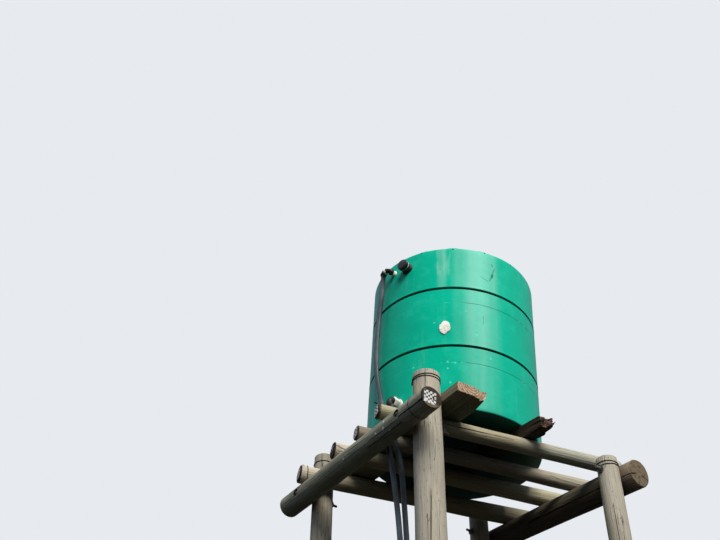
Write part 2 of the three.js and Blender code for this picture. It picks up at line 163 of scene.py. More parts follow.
def pickFaces(piece, test):
    setSelection(piece, "FACE", test(*faceFacts(piece)))


def pickAll(piece):
    pickPoints(piece, lambda p: np.ones(len(p), bool))


def pushFaces(distance):
    bpy.ops.mesh.extrude_region_shrink_fatten(TRANSFORM_OT_shrink_fatten={"value": distance})


def drawOut(step):
    bpy.ops.mesh.extrude_region_move(TRANSFORM_OT_translate={"value": step})


def assignSlot(index):
    bpy.context.object.active_material_index = index
    bpy.ops.object.material_slot_assign()


def applyAll(piece):
    makeActive(piece)
    for modifier in list(piece.modifiers):
        bpy.ops.object.modifier_apply(modifier=modifier.name)


def placeAt(piece, matrix):
    makeActive(piece)
    piece.matrix_world = matrix
    bpy.ops.object.transform_apply(location=True, rotation=True, scale=True)


def smoothBy(piece, degrees):
    makeActive(piece)
    bpy.ops.object.shade_smooth_by_angle(angle=math.radians(degrees))


def cleanUp(piece):
    pickAll(piece)
    bpy.ops.mesh.remove_doubles(threshold=1e-5)
    bpy.ops.mesh.normals_make_consistent(inside=False)
    objectMode()


def wobble(piece, size, strength, stretch, shift):
    # clouds pushed along the normals, read through an empty that stretches them
    texture = bpy.data.textures.new(piece.name + "Wobble", "CLOUDS")
    texture.noise_scale = size
    bpy.ops.object.empty_add(location=(shift, shift, shift))
    guide = bpy.context.active_object
    guide.scale = stretch
    modifier = piece.modifiers.new("wobble", "DISPLACE")
    modifier.texture = texture
    modifier.texture_coords = "OBJECT"
    modifier.texture_coords_object = guide
    modifier.strength = strength
    modifier.mid_level = 0.5
    applyAll(piece)
    bpy.data.objects.remove(guide)
    bpy.data.textures.remove(texture)


def twistAbout(piece, degrees):
    twist = piece.modifiers.new("twist", "SIMPLE_DEFORM")
    twist.deform_method = "TWIST"
    twist.deform_axis = "Z"
    twist.angle = math.radians(degrees)
    applyAll(piece)


def rodAlong(name, sides, radius, low, high, x=0.0):
    # an upright cylinder from one height to another
    clearSelection()
    place = (x, 0, (low + high) / 2)
    bpy.ops.mesh.primitive_cylinder_add(vertices=sides, radius=radius, depth=high - low, location=place)
    piece = named(name)
    bpy.ops.object.transform_apply(location=True)
    return piece


def pickEnds(piece, profile):
    ends = np.array([(profile[i][0], 0, profile[i][1]) for i in (0, -1)])
    pickPoints(piece, lambda p: np.min(np.linalg.norm(p[:, None] - ends, axis=2), axis=1) < 1e-5)


def spunPiece(name, profile, steps, closed=False):
    # a profile of (radius, height) drawn point by point, then spun round the upright axis
    clearSelection()
    bpy.ops.mesh.primitive_plane_add(size=0.01, location=(0, 0, 0))
    piece = named(name)
    pickAll(piece)
    bpy.ops.mesh.merge(type="CENTER")
    bpy.ops.transform.translate(value=(profile[0][0], 0, profile[0][1]))
    for before, after in zip(profile, profile[1:]):
        drawOut((after[0] - before[0], 0, after[1] - before[1]))
    if closed:
        pickEnds(piece, profile)
        bpy.ops.mesh.edge_face_add()
    pickAll(piece)
    bpy.ops.mesh.spin(steps=steps, angle=2 * math.pi, center=(0, 0, 0), axis=(0, 0, 1))
    cleanUp(piece)
    return piece


def tubeAlong(name, points, radius):
    # a round bar along a smooth path
    clearSelection()
    bpy.ops.curve.primitive_bezier_curve_add()
    path = named(name)
    path.data.splines.clear()
    spline = path.data.splines.new("BEZIER")
    spline.bezier_points.add(len(points) - 1)
    for knot, point in zip(spline.bezier_points, points):
        knot.co = point
        knot.handle_left_type = "AUTO"
        knot.handle_right_type = "AUTO"
    path.data.dimensions = "3D"
    path.data.resolution_u = 10
    path.data.bevel_depth = radius
    path.data.bevel_resolution = 6
    path.data.use_fill_caps = True
    path.matrix_world = Matrix.Identity(4)
    makeActive(path)
    bpy.ops.object.convert(target="MESH")
    piece = named(name)
    cleanUp(piece)
    smoothBy(piece, 40)
    return piece


def joined(pieces, name):
    makeActive(pieces[0])
    for piece in pieces:
        piece.select_set(True)
    bpy.ops.object.join()
    return named(name)


def copied(piece, matrix):
    makeActive(piece)
    bpy.ops.object.duplicate()
    twin = bpy.context.active_object
    placeAt(twin, matrix)
    return twin


def keepGrain(piece, seed=0.0, place=None):
    # the piece's own upright coordinates, kept for its material before it is bent and laid in place
    points = vertexPoints(piece)
    if place is not None:
        back = np.array(place.inverted())
        points = points @ back[:3, :3].T + back[:3, 3]
    points = points + np.array((0, 0, seed))
    old = piece.data.attributes.get("grain")
    if old:
        piece.data.attributes.remove(old)
    grain = piece.data.attributes.new("grain", "FLOAT_VECTOR", "POINT")
    grain.data.foreach_set("vector", points.ravel())


def hand(piece, slot, *replaced):
    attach(piece, "root")
    if replaced:
        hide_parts(*replaced)


def dressed(piece, slot, material, *replaced):
    # one material all over, then attached to the root, hiding the frame's parts it replaces
    piece.data.materials.clear()
    piece.data.materials.append(material)
    hand(piece, slot, *replaced)


# Places, measured round an upright middle


def outOf(points):
    return np.hypot(points[:, 0], points[:, 1])


def angleOf(points):
    return np.degrees(np.arctan2(points[:, 1], points[:, 0]))


def turnShare(points, count):
    # how far round, from 0 to 1, within each of so many equal parts
    return (angleOf(points) / (360 / count)) % 1


def radialPoint(azimuth, out, height):
    angle = math.radians(azimuth)
    return Vector((out * math.cos(angle), out * math.sin(angle), height))


# Where the stand and the tank are, read from the frame


def flatEnd(node, direction):
    # centre, outward normal and radius of a node's flat face that looks a given way
    centres, normals = faceFacts(nodes[node])
    areas = np.array([face.area for face in nodes[node].data.polygons])
    toward = np.array(Vector(direction).normalized())
    facing = normals @ toward > 0.94
    for slack in (0.02, 0.002):
        reach = centres @ toward
        outer = facing & (reach > reach[facing].max() - slack)
        toward = areas[outer] @ normals[outer] / areas[outer].sum()
        facing = normals @ toward > 0.995
    outer = facing & (centres @ toward > (centres @ toward)[facing].max() - slack)
    centre = areas[outer] @ centres[outer] / areas[outer].sum()
    return Vector(centre), Vector(toward).normalized(), math.sqrt(areas[outer].sum() / math.pi)


baseCentre, baseNormal, _ = flatEnd("tank_floor", (0, 0, -1))
leanForward = math.degrees(math.asin(baseNormal.y))
leanRight = math.degrees(math.atan2(-baseNormal.x, -baseNormal.z))
platform = Matrix.Translation(baseCentre) @ turnAbout("Y", leanRight) @ turnAbout("X", leanForward)
print("platform:", [round(v, 4) for v in baseCentre], "leans", round(leanRight, 2), round(leanForward, 2))


# Helpers for materials


def addNode(tree, kind, settings=None, inputs=None):
    made = tree.nodes.new("ShaderNode" + kind)
    for key, value in (settings or {}).items():
        setattr(made, key, value)
    for key, value in (inputs or {}).items():
        if isinstance(value, bpy.types.NodeSocket):
            tree.links.new(value, made.inputs[key])
        else:
            made.inputs[key].default_value = value
    return made


def newMaterial(name, roughness, metallic=0.0, specular=0.5):
    material = bpy.data.materials.new(name)
    material.use_nodes = True
    shader = material.node_tree.nodes["Principled BSDF"]
    shader.inputs["Roughness"].default_value = roughness
    shader.inputs["Metallic"].default_value = metallic
    shader.inputs["Specular IOR Level"].default_value = specular
    return material, material.node_tree, shader


def rgba(colour):
    return (*colour, 1.0)


def dimmed(colour, share):
    return tuple(level * share for level in colour)


def grainOf(tree):
    return addNode(tree, "Attribute", {"attribute_name": "grain"}).outputs["Vector"]


def objectPlace(tree):
    return addNode(tree, "TexCoord").outputs["Object"]


def axisOf(tree, vector, axis):
    return addNode(tree, "SeparateXYZ", inputs={"Vector": vector}).outputs[axis]


def scaled(tree, vector, scale):
    return addNode(tree, "Mapping", inputs={"Vector": vector, "Scale": scale}).outputs["Vector"]


def noise(tree, vector, scale, detail=4.0, rough=0.55):
    return addNode(tree, "TexNoise", inputs={
        "Vector": vector, "Scale": scale, "Detail": detail, "Roughness": rough,
    }).outputs["Fac"]


def noises(tree, vector, layers):
    # layers of name: (size, stretch along z, detail, roughness)
    return {
        name: noise(tree, scaled(tree, vector, (1, 1, stretch)), size, detail, rough)
        for name, (size, stretch, detail, rough) in layers.items()
    }


def ramped(tree, value, stops):
    # stops of (position, level) or (position, colour)
    ramp = addNode(tree, "ValToRGB", inputs={"Fac": value})
    for element, (position, level) in zip(ramp.color_ramp.elements, stops):
        element.position = position
        element.color = rgba(level) if isinstance(level, tuple) else (level, level, level, 1)
    return ramp.outputs["Color"]


def mixed(tree, factor, first, second, blend="MIX"):
    def socketValue(value):
        return rgba(value) if isinstance(value, tuple) else value

    return addNode(tree, "Mix", {"data_type": "RGBA", "blend_type": blend}, {
        0: factor, 6: socketValue(first), 7: socketValue(second),
    }).outputs[2]


def laid(tree, under, over, shade, *stops, blend="MIX"):
    # one colour over another, as much as the ramp of the shade lets it through
    return mixed(tree, ramped(tree, shade, stops), under, over, blend)


def maths(tree, operation, first, second=0.0, clamp=False):
    settings = {"operation": operation, "use_clamp": clamp}
    return addNode(tree, "Math", settings, {0: first, 1: second}).outputs["Value"]


def times(tree, *factors):
    product = factors[0]
    for factor in factors[1:]:
        product = maths(tree, "MULTIPLY", product, factor)
    return product


def spread(tree, under, over, *factors):
    # one colour over another, as much as all the factors let it through
    return mixed(tree, times(tree, *factors), under, over)


def vectorMaths(tree, operation, *values):
    inputs = {"Scale" if operation == "SCALE" and i == 1 else i: value for i, value in enumerate(values)}
    made = addNode(tree, "VectorMath", {"operation": operation}, inputs)
    return made.outputs["Value" if operation in ("DISTANCE", "DOT_PRODUCT", "LENGTH") else "Vector"]


def swayed(tree, vector, place, scale, amount):
    # a vector pushed about by a soft noise
    layer = addNode(tree, "TexNoise", inputs={"Vector": place, "Scale": scale, "Detail": 2.0})
    cloud = layer.outputs["Color"]
    return vectorMaths(tree, "ADD", vector, vectorMaths(tree, "SCALE", cloud, amount))


def mapped(tree, value, low, high, start=0.0, end=1.0):
    return addNode(tree, "MapRange", inputs={
        "Value": value, "From Min": low, "From Max": high, "To Min": start, "To Max": end,
    }).outputs["Result"]


def between(tree, value, centre, half, soft):
    # 1 where the value is near the centre, falling off to 0
    away = maths(tree, "ABSOLUTE", maths(tree, "SUBTRACT", value, centre))
    return mapped(tree, away, half, half + soft, 1.0, 0.0)


def nearest(tree, place, points, ragged):
    # distance to the nearest of these points, with a ragged edge
    shortest = 9.0
    for point in points:
        shortest = maths(tree, "MINIMUM", vectorMaths(tree, "DISTANCE", place, tuple(point)), shortest)
    return maths(tree, "ADD", shortest, maths(tree, "MULTIPLY", ragged, 0.008))


def painted(tree, shader, colour, bumps, roughness=None):
    # bumps of (height, distance), the first one lowest
    tree.links.new(colour, shader.inputs["Base Color"])
    if roughness:
        tree.links.new(roughness, shader.inputs["Roughness"])
    last = None
    for height, distance in bumps:
        bump = addNode(tree, "Bump", inputs={"Height": height, "Distance": distance})
        if last:
            tree.links.new(last.outputs["Normal"], bump.inputs["Normal"])
        last = bump
    tree.links.new(last.outputs["Normal"], shader.inputs["Normal"])


# Stage: a plain pale floor, a plain sky and soft lights

stage = {
    "floorSize": 60,
    "floorColour": (0.62, 0.62, 0.60),
    "backdrop": (0.80, 0.83, 0.87),
    "lowLight": (0.035, 0.035, 0.03),
    "skyLight": (0.42, 0.50, 0.62),
    "skyStrength": 0.95,
    "lights": {
        "broadLight": {
            "azimuth": -99, "height": 41, "distance": 14, "size": 8.0, "power": 2500,
            "colour": (1.0, 0.97, 0.90), "inGloss": False,
        },
        "keyLight": {
            "azimuth": -70, "height": 46, "distance": 14, "size": 2.8, "power": 900,
            "colour": (1.0, 0.96, 0.88), "inGloss": True,
        },
    },
}


def addFloor(look):
    clearSelection()
    bpy.ops.mesh.primitive_plane_add(size=look["floorSize"], location=(0, 0, -0.001))
    floor = named("floor")
    material, _, shader = newMaterial("floor", 0.95)
    shader.inputs["Base Color"].default_value = rgba(look["floorColour"])
    floor.data.materials.append(material)
    floor.visible_diffuse = False
    floor.visible_glossy = False


def addSky(look):
    # the camera sees a plain pale backdrop; the light from it is dimmer, and comes from above only
    world = bpy.data.worlds.new("sky")
    bpy.context.scene.world = world
    world.use_nodes = True
    tree = world.node_tree
    light = tree.nodes["Background"]
    light.inputs["Strength"].default_value = look["skyStrength"]
    height = axisOf(tree, addNode(tree, "TexCoord").outputs["Generated"], "Z")
    rising = ramped(tree, height, [(0.0, look["lowLight"]), (0.25, look["skyLight"])])
    tree.links.new(rising, light.inputs["Color"])
    shown = addNode(tree, "Background", inputs={"Color": rgba(look["backdrop"])})
    mix = addNode(tree, "MixShader", inputs={
        "Fac": addNode(tree, "LightPath").outputs["Is Camera Ray"],
        1: light.outputs["Background"],
        2: shown.outputs["Background"],
    })
    tree.links.new(mix.outputs["Shader"], tree.nodes["World Output"].inputs["Surface"])


def addLight(name, look):
    flat = math.cos(math.radians(look["height"]))
    away = radialPoint(look["azimuth"], flat, math.sin(math.radians(look["height"])))
    bpy.ops.object.light_add(type="AREA", location=baseCentre + away * look["distance"])
    light = bpy.context.active_object
    light.name = name
    light.rotation_euler = away.to_track_quat("Z", "Y").to_euler()
    light.data.shape = "DISK"
    light.data.size = look["size"]
    light.data.energy = look["power"]
    light.data.color = look["colour"]
    light.visible_glossy = look["inGloss"]


addFloor(stage)
addSky(stage)
for name, look in stage["lights"].items():
    addLight(name, look)
print("stage: floor, sky and", len(stage["lights"]), "lights")


# Weathered timber, with grain along the piece

# the noises in it, of which the fibres sway: size, stretch along the grain, detail, roughness
fibreNoise = {"streak": (130.0, 0.025, 5.0, 0.60), "fibre": (420.0, 0.020, 3.0, 0.60)}
patchNoise = {
    "patch": (9.0, 0.35, 3.0, 0.60), "stain": (3.1, 0.50, 4.0, 0.65),
    "gap": (17.0, 0.25, 3.0, 0.60), "speck": (150.0, 0.22, 2.0, 0.50),
}


def timber(name, look):
    material, tree, shader = newMaterial(name, 0.85, specular=0.25)
    grain = grainOf(tree)
    sway = swayed(tree, grain, scaled(tree, grain, (3, 3, 1.1)), 1.0, 0.03)
    shade = {**noises(tree, sway, fibreNoise), **noises(tree, grain, patchNoise)}
    lines = addNode(tree, "TexVoronoi", {"feature": "DISTANCE_TO_EDGE"}, {
        "Vector": scaled(tree, sway, (1, 1, 0.03)), "Scale": look["lineScale"],
    }).outputs["Distance"]
    line = ramped(tree, lines, [(0.0, 1.0), (look["lineWidth"], 0.0)])
    split = mixed(tree, 1.0, line, ramped(tree, shade["gap"], [(0.52, 0.0), (0.64, 1.0)]), "MULTIPLY")
    colour = laid(tree, look["dark"], look["pale"], shade["streak"], (0.30, 0.0), (0.70, 1.0))
    colour = laid(tree, colour, look["warm"], shade["patch"], (0.42, 0.0), (0.75, 0.8))
    colour = laid(tree, colour, look["stain"], shade["stain"], (0.50, 0.0), (0.72, look["stainLevel"]))
    colour = laid(tree, colour, look["dark"], shade["fibre"], (0.35, 0.35), (0.6, 0.0), blend="MULTIPLY")
    colour = laid(tree, colour, look["crack"], shade["speck"], (0.66, 0.0), (0.72, look["speckLevel"]))
    if "tint" in look:
        nearEnd = mapped(tree, axisOf(tree, sway, "Z"), *look["tintSpan"], 0.9, 0.0)
        colour = mixed(tree, nearEnd, colour, look["tint"])
    # paler toward given x, broken up by the wood's streaks: on the lit joist this is painted light
    for paleShift, low, high in look.get("paleShift", []):
        across = mapped(tree, axisOf(tree, objectPlace(tree), "X"), low, high)
        mottle = ramped(tree, shade["streak"], [(0.3, 0.3), (0.6, 1.0)])
        colour = spread(tree, colour, paleShift, across, mottle)
    if "flecks" in look:
        # measured on the smooth round skin, whatever the lumps in it
        outward = vectorMaths(tree, "NORMALIZE", scaled(tree, grain, (1, 1, 0)))
        skin = vectorMaths(tree, "MULTIPLY_ADD", outward, (fleckRadius,) * 3, scaled(tree, grain, (0, 0, 1)))
        fleck = nearest(tree, skin, look["flecks"], shade["streak"])
        colour = laid(tree, colour, look["fleck"], fleck, (0.0095, 1.0), (0.0115, 0.0))
    colour = mixed(tree, split, colour, look["crack"])
    painted(
        tree, shader, colour,
        [(shade["streak"], 0.004), (shade["fibre"], 0.0012), (maths(tree, "SUBTRACT", 1.0, split), 0.003)],
        roughness=ramped(tree, shade["streak"], [(0.2, 0.95), (0.8, 0.72)]),
    )
    return material


def endGrain(name, look):
    # sawn end: rings round the heart, and checks that run out from it
    material, tree, shader = newMaterial(name, 0.92, specular=0.15)
    grain = grainOf(tree)
    flat = scaled(tree, grain, (1, 1, 0))
    warped = swayed(tree, flat, flat, 14.0, 0.012)
    rings = maths(tree, "SINE", times(tree, vectorMaths(tree, "LENGTH", warped), look["ringDensity"]))
    rough = noise(tree, grain, 60.0, 5.0, 0.65)
    blotch = noise(tree, grain, look["blotchScale"], 3.0)
    colour = laid(tree, look["pale"], look["dark"], rings, (0.1, 0.0), (0.9, 0.6))
    colour = laid(tree, colour, look["stain"], blotch, (0.40, 0.0), (0.68, 0.8))
    if "slab" in look:
        # a paler strip below, so far under the heart
        under = maths(tree, "ADD", axisOf(tree, warped, "X"), 0.5)
        colour = laid(tree, colour, look["slab"], under, (0.462, 1.0), (0.472, 0.0))
    colour = laid(tree, colour, look["crack"], rough, (0.32, 0.8), (0.50, 0.0))
    painted(tree, shader, colour, [(rough, 0.003), (rings, 0.0008)])
    return material


def darkInside(name, colour):
    # a dark material for the insides of checks, bored holes and punched holes: painted shade, over the darker
    # wood in a check
    material, tree, shader = newMaterial(name, 0.95, specular=0.1)
    place = objectPlace(tree)
    tone = ramped(tree, noise(tree, place, 60.0), [(0.3, dimmed(colour, 0.5)), (0.7, colour)])
    painted(tree, shader, tone, [(noise(tree, place, 240.0), 0.001)])
    return material


postLook = {
    "pale": (0.46, 0.425, 0.355), "dark": (0.35, 0.32, 0.26), "warm": (0.41, 0.345, 0.27),
    "stain": (0.25, 0.23, 0.185), "stainLevel": 0.65, "crack": (0.07, 0.06, 0.05), "speckLevel": 0.9,
    "lineScale": 30.0, "lineWidth": 0.030,
}
beamLook = {
    **postLook,
    "pale": (0.325, 0.33, 0.26), "dark": (0.225, 0.225, 0.17), "warm": (0.27, 0.235, 0.175),
    "stain": (0.14, 0.15, 0.105), "lineScale": 24.0, "lineWidth": 0.020,
}
# pale flecks on the left beam: angle round it, and how far along its grain
fleckRadius = 0.07
leftBeamGrain = 60.59
leftBeamFlecks = [(-111, 0.381), (-118, 0.390), (-82, 0.372), (-141, 0.341), (-110, 0.460), (-110, 0.806)]
leftBeamLook = {
    **beamLook,
    "fleck": (0.90, 0.90, 0.82),
    "flecks": [radialPoint(angle, fleckRadius, leftBeamGrain + along) for angle, along in leftBeamFlecks],
}
# painted shade: the right beam's wood is far darker than the left beam's, standing for the shade under the
# tank
# toward its near end the right beam goes brown: from and to along its grain
rightBeamLook = {
    **beamLook,
    "pale": (0.125, 0.102, 0.073), "dark": (0.070, 0.059, 0.043), "warm": (0.135, 0.092, 0.068),
    "stain": (0.07, 0.06, 0.042), "tint": (0.25, 0.195, 0.135), "tintSpan": (70.11, 70.20),
}
# a joist grows paler toward an end: colour, and x where it starts and where it is full
joistLook = {
    **postLook,
    "pale": (0.40, 0.37, 0.265), "dark": (0.30, 0.275, 0.19), "warm": (0.34, 0.285, 0.19),
    "stain": (0.21, 0.20, 0.135), "stainLevel": 0.75, "speckLevel": 0.35, "lineWidth": 0.018,
    "paleShift": [((0.37, 0.39, 0.345), 0.1, 0.75)],
}
# painted shade: a darker copy of the joist wood, for the joists under the tank
shadedJoistLook = {
    **joistLook,
    "pale": (0.34, 0.305, 0.205), "dark": (0.24, 0.21, 0.14), "warm": (0.29, 0.235, 0.15),
    "paleShift": [((0.52, 0.45, 0.37), -0.60, -0.72)],
}
brownJoistLook = {
    **shadedJoistLook,
    "pale": (0.31, 0.27, 0.205), "dark": (0.20, 0.168, 0.125), "warm": (0.28, 0.19, 0.14),
    "stain": (0.15, 0.14, 0.10),
    "paleShift": [((0.36, 0.33, 0.255), 0.30, 0.60)],
}
# painted light: the lit joist is paler from x 0.10 on, where it comes out of the tank's shadow
litJoistLook = {
    **shadedJoistLook,
    "paleShift": [*shadedJoistLook["paleShift"], ((0.40, 0.36, 0.25), 0.10, 0.45)],
}
endLook = {
    "pale": (0.36, 0.30, 0.25), "dark": (0.22, 0.175, 0.14), "stain": (0.26, 0.23, 0.205),
    "crack": (0.08, 0.065, 0.05), "ringDensity": 900.0, "blotchScale": 18.0,
}
brownEndLook = {
    **endLook,
    "pale": (0.20, 0.148, 0.098), "dark": (0.115, 0.083, 0.055), "stain": (0.145, 0.125, 0.085),
    "crack": (0.045, 0.032, 0.022), "blotchScale": 34.0,
}
darkEndLook = {
    **endLook,
    "pale": (0.060, 0.042, 0.030), "dark": (0.026, 0.021, 0.017), "stain": (0.040, 0.032, 0.025),
    "crack": (0.012, 0.010, 0.009),
}
postTimber = timber("postTimber", postLook)
beamTimber = timber("beamTimber", leftBeamLook)
rightBeamTimber = timber("rightBeamTimber", rightBeamLook)
joistTimber = timber("joistTimber", joistLook)
dimJoistTimber = timber("dimJoistTimber", shadedJoistLook)
litJoistTimber = timber("litJoistTimber", litJoistLook)
brownJoistTimber = timber("brownJoistTimber", brownJoistLook)
greyEnd = endGrain("greyEnd", endLook)
brownEnd = endGrain("brownEnd", brownEndLook)
darkEnd = endGrain("darkEnd", darkEndLook)
slabEnd = endGrain("slabEnd", {**darkEndLook, "slab": (0.17, 0.125, 0.08)})
checkShade = darkInside("checkShade", (0.055, 0.047, 0.038))
print("timber: 7 weathered faces, 4 sawn ends")


# Poles: turned upright, split and dented there, then laid where the frame has them

poles = {
    "chamfer": 0.007, "capRings": 6, "smooth": 38, "grainStep": 7.3,
    "lumpSize": 0.22, "lumpHeight": 0.010, "ridgeSize": 0.011, "ridgeHeight": 0.0022,
}


def polePlace(start, end):
    # the pole's own z runs from start to end, its x points up, or to the right on a post
    axis = (end - start).normalized()
    side = Vector((1, 0, 0)) if abs(axis.z) > 0.9 else Vector((0, 0, 1))
    x = (side - axis * side.dot(axis)).normalized()
    matrix = Matrix((x, axis.cross(x), axis)).transposed().to_4x4()
    matrix.translation = start
    return matrix


def layOf(node, toward):
    # where a pole or bolt lies, and how long it is
    start, end = flatEnd(node, -Vector(toward))[0], flatEnd(node, toward)[0]
    return polePlace(start, end), (end - start).length


def addCheck(piece, length, step, angle, low, high, width, depth, reach):
    # a split along the grain: a chain of edges opened, and its floor pushed in
    angle = round(angle / step) * step

    def along(points):
        near = np.abs((angleOf(points) - angle + 180) % 360 - 180) < step * 0.4
        inSpan = (points[:, 2] > low - 1e-4) & (points[:, 2] < high + 1e-4)
        onCap = (points[:, 2] > length - 0.012) | (points[:, 2] < 0.012)
        return near & inSpan & (~onCap | (outOf(points) > reach))

    pickEdges(piece, lambda a, b: along(a) & along(b))
    bpy.ops.mesh.bevel(offset=width / 2, segments=1, affect="EDGES")
    bpy.ops.transform.vertex_random(offset=width * 0.7, uniform=0, normal=0, seed=int(angle) % 97)
    bpy.ops.mesh.select_mode(type="FACE")
    pushFaces(-depth)
    bpy.ops.mesh.select_more()
    bpy.ops.mesh.select_less()
    # the check's floor and walls get painted shade
    assignSlot(2)
    objectMode()


def makePole(name, node, toward, look):
    start, _, startRadius = flatEnd(node, -Vector(toward))
    end, _, endRadius = flatEnd(node, toward)
    chamfer = poles["chamfer"]
    startRadius += 0 if start.z < 0.01 else chamfer
    endRadius += chamfer
    length = (end - start).length

    def onRim(a, b):
        level = np.abs(a[:, 2] - b[:, 2]) < 1e-5
        return level & (np.abs(a[:, 2] - length / 2) > length / 2 - 1e-4)

    piece = rodAlong(name, look["sides"], startRadius, 0, length)
    for material in look["materials"]:
        piece.data.materials.append(material)
    pickPoints(piece, lambda p: p[:, 2] > length / 2)
    share = endRadius / startRadius
    bpy.ops.transform.resize(value=(share, share, 1), center_override=(0, 0, length))
    pickEdges(piece, lambda a, b: np.abs(a[:, 2] - b[:, 2]) > length / 2)
    bpy.ops.mesh.subdivide(number_cuts=look["rings"])
    pickEdges(piece, onRim)
    bpy.ops.mesh.bevel(offset=chamfer, segments=3, affect="EDGES")
    pickFaces(piece, lambda c, n: np.abs(n[:, 2]) > 0.99)
    for ring in range(poles["capRings"]):
        bpy.ops.mesh.inset(thickness=endRadius / (poles["capRings"] + 1.5))
    pickFaces(piece, lambda c, n: np.abs(n[:, 2]) > look.get("capEdge", 0.99))
    assignSlot(1)
    for check in look["checks"]:
        addCheck(piece, length, 360 / look["sides"], *check)
    keepGrain(piece, look["seed"] * poles["grainStep"])
    twistAbout(piece, look["twist"])
    wobble(piece, poles["lumpSize"], poles["lumpHeight"], (1, 1, 3), look["seed"])
    wobble(piece, poles["ridgeSize"], poles["ridgeHeight"], (1, 1, 30), look["seed"] + 4)
    smoothBy(piece, poles["smooth"])
    placeAt(piece, polePlace(start, end))
    return piece


# a pole's faces: round it, on its ends, in its checks
greyPole = [postTimber, greyEnd, checkShade]
beamPole = [beamTimber, slabEnd, checkShade]
rightBeamPole = [rightBeamTimber, brownEnd, checkShade]

# checks: angle, from and to along the pole, width, depth, how near the heart one runs on an end
posts = {
    "near": {
        "sides": 112, "rings": 64, "seed": 0.7, "twist": 6, "materials": greyPole,
        "checks": [
            (-87, 3.9, 5.2, 0.0022, 0.022, 0.015), (-128, 3.3, 4.15, 0.0015, 0.018, 0),
            (-92, 2.3, 3.7, 0.002, 0.02, 0), (60, 1.0, 4.2, 0.004, 0.025, 0),
        ],
    },
    "left": {
        "sides": 80, "rings": 48, "seed": 2.1, "twist": -5, "materials": greyPole,
        "checks": [(-120, 3.4, 4.6, 0.004, 0.02, 0), (20, 0.8, 3.6, 0.004, 0.02, 0)],
    },
    "right": {
        "sides": 96, "rings": 56, "seed": 3.9, "twist": 8, "materials": greyPole,
        "checks": [
            (-135, 3.6, 4.45, 0.004, 0.025, 0), (-90, 2.6, 4.2, 0.003, 0.02, 0),
            (90, 1.2, 4.0, 0.004, 0.02, 0),
        ],
    },
    "back": {
        "sides": 72, "rings": 44, "seed": 5.2, "twist": -4, "materials": greyPole,
        "checks": [(-100, 3.0, 4.3, 0.004, 0.02, 0), (80, 1.0, 3.5, 0.004, 0.02, 0)],
    },
}
for corner, look in posts.items():
    post = makePole("post" + corner.title(), "post_" + corner, (0, 0, 1), look)
    hand(post, "pole", "post_" + corner)
print("posts:", len(posts))


# Beams, bored for the heads of the bolts

beams = {
    "left": {
        "sides": 96, "rings": 40, "seed": 8.3, "twist": 10, "materials": beamPole, "capEdge": 0.2,
        "bolts": ("near", "left"),
        "checks": [
            (238, 0.26, 1.25, 0.0018, 0.02, 0), (262, 0.55, 1.48, 0.0016, 0.016, 0),
            (242, 0.0, 0.24, 0.007, 0.030, 0.045), (215, 0.2, 0.6, 0.003, 0.02, 0),
            (70, 0.3, 1.4, 0.004, 0.02, 0),
        ],
    },
    "right": {
        "sides": 96, "rings": 36, "seed": 9.6, "twist": -8, "materials": rightBeamPole, "capEdge": 0.2,
        "bolts": ("right", "back"),
        "checks": [
            (250, 0.0, 0.85, 0.004, 0.03, 0.012), (110, 0.0, 0.6, 0.004, 0.03, 0.02),
            (190, 0.0, 0.45, 0.003, 0.02, 0.025),
        ],
    },
}
bolts = {
    "toward": {"near": (1, 0.23, 0), "left": (1, 0.23, 0), "right": (-1, -0.33, 0), "back": (-1, -0.33, 0)},
    "rod": 0.008, "nut": 0.013, "washer": 0.023, "thread": 0.0025,
    # the bored hole: radius, where its floor is on the bolt, and how deep the cutter reaches
    "hole": 0.024, "holeFloor": 0.016, "holeDepth": 0.16,
}


def drillHole(beam, corner):
    # the bolt's head is sunk in a hole bored from the outer side
    floor = bolts["holeFloor"]
    cutter = rodAlong("cutter", 40, bolts["hole"], floor - bolts["holeDepth"], floor)
    # the hole's walls take the cutter's painted shade
    cutter.data.materials.append(checkShade)
    placeAt(cutter, layOf("bolt_" + corner, bolts["toward"][corner])[0])
    hole = beam.modifiers.new("hole", "BOOLEAN")
    hole.object = cutter
    hole.operation = "DIFFERENCE"
    hole.solver = "EXACT"
    hole.material_mode = "TRANSFER"
    applyAll(beam)
    bpy.data.objects.remove(cutter)


for side, look in beams.items():
    beam = makePole("beam" + side.title(), "beam_" + side, (0, 1, 0), look)
    for corner in look["bolts"]:
        drillHole(beam, corner)
    keepGrain(beam, look["seed"] * poles["grainStep"], layOf("beam_" + side, (0, 1, 0))[0])
    smoothBy(beam, poles["smooth"])
    hand(beam, "pole", "beam_" + side)
print("beams:", len(beams))

joists = {
    "sides": 80, "rings": 36, "capEdge": 0.2,
    "rows": {
        1: (joistTimber, (100, 0.22, 0.85, 0.003, 0.015, 0)),
        2: (brownJoistTimber, (95, 0.5, 1.1, 0.003, 0.012, 0)),
        3: (litJoistTimber, (80, 1.0, 1.45, 0.004, 0.015, 0)),
        4: (dimJoistTimber, (70, 0.3, 0.9, 0.003, 0.015, 0)),
    },
}
for row, (face, check) in joists["rows"].items():
    joist = makePole("joist" + str(row), "joist_" + str(row), (1, 0, 0), {
        **joists, "seed": 11.0 + row * 1.7, "twist": 4 * row - 9,
        "materials": [face, darkEnd, checkShade], "checks": [check],
    })
    hand(joist, "pole", "joist_" + str(row))
print("joists:", len(joists["rows"]))


# Tank: one moulded shell of floor, wall and ribbed roof

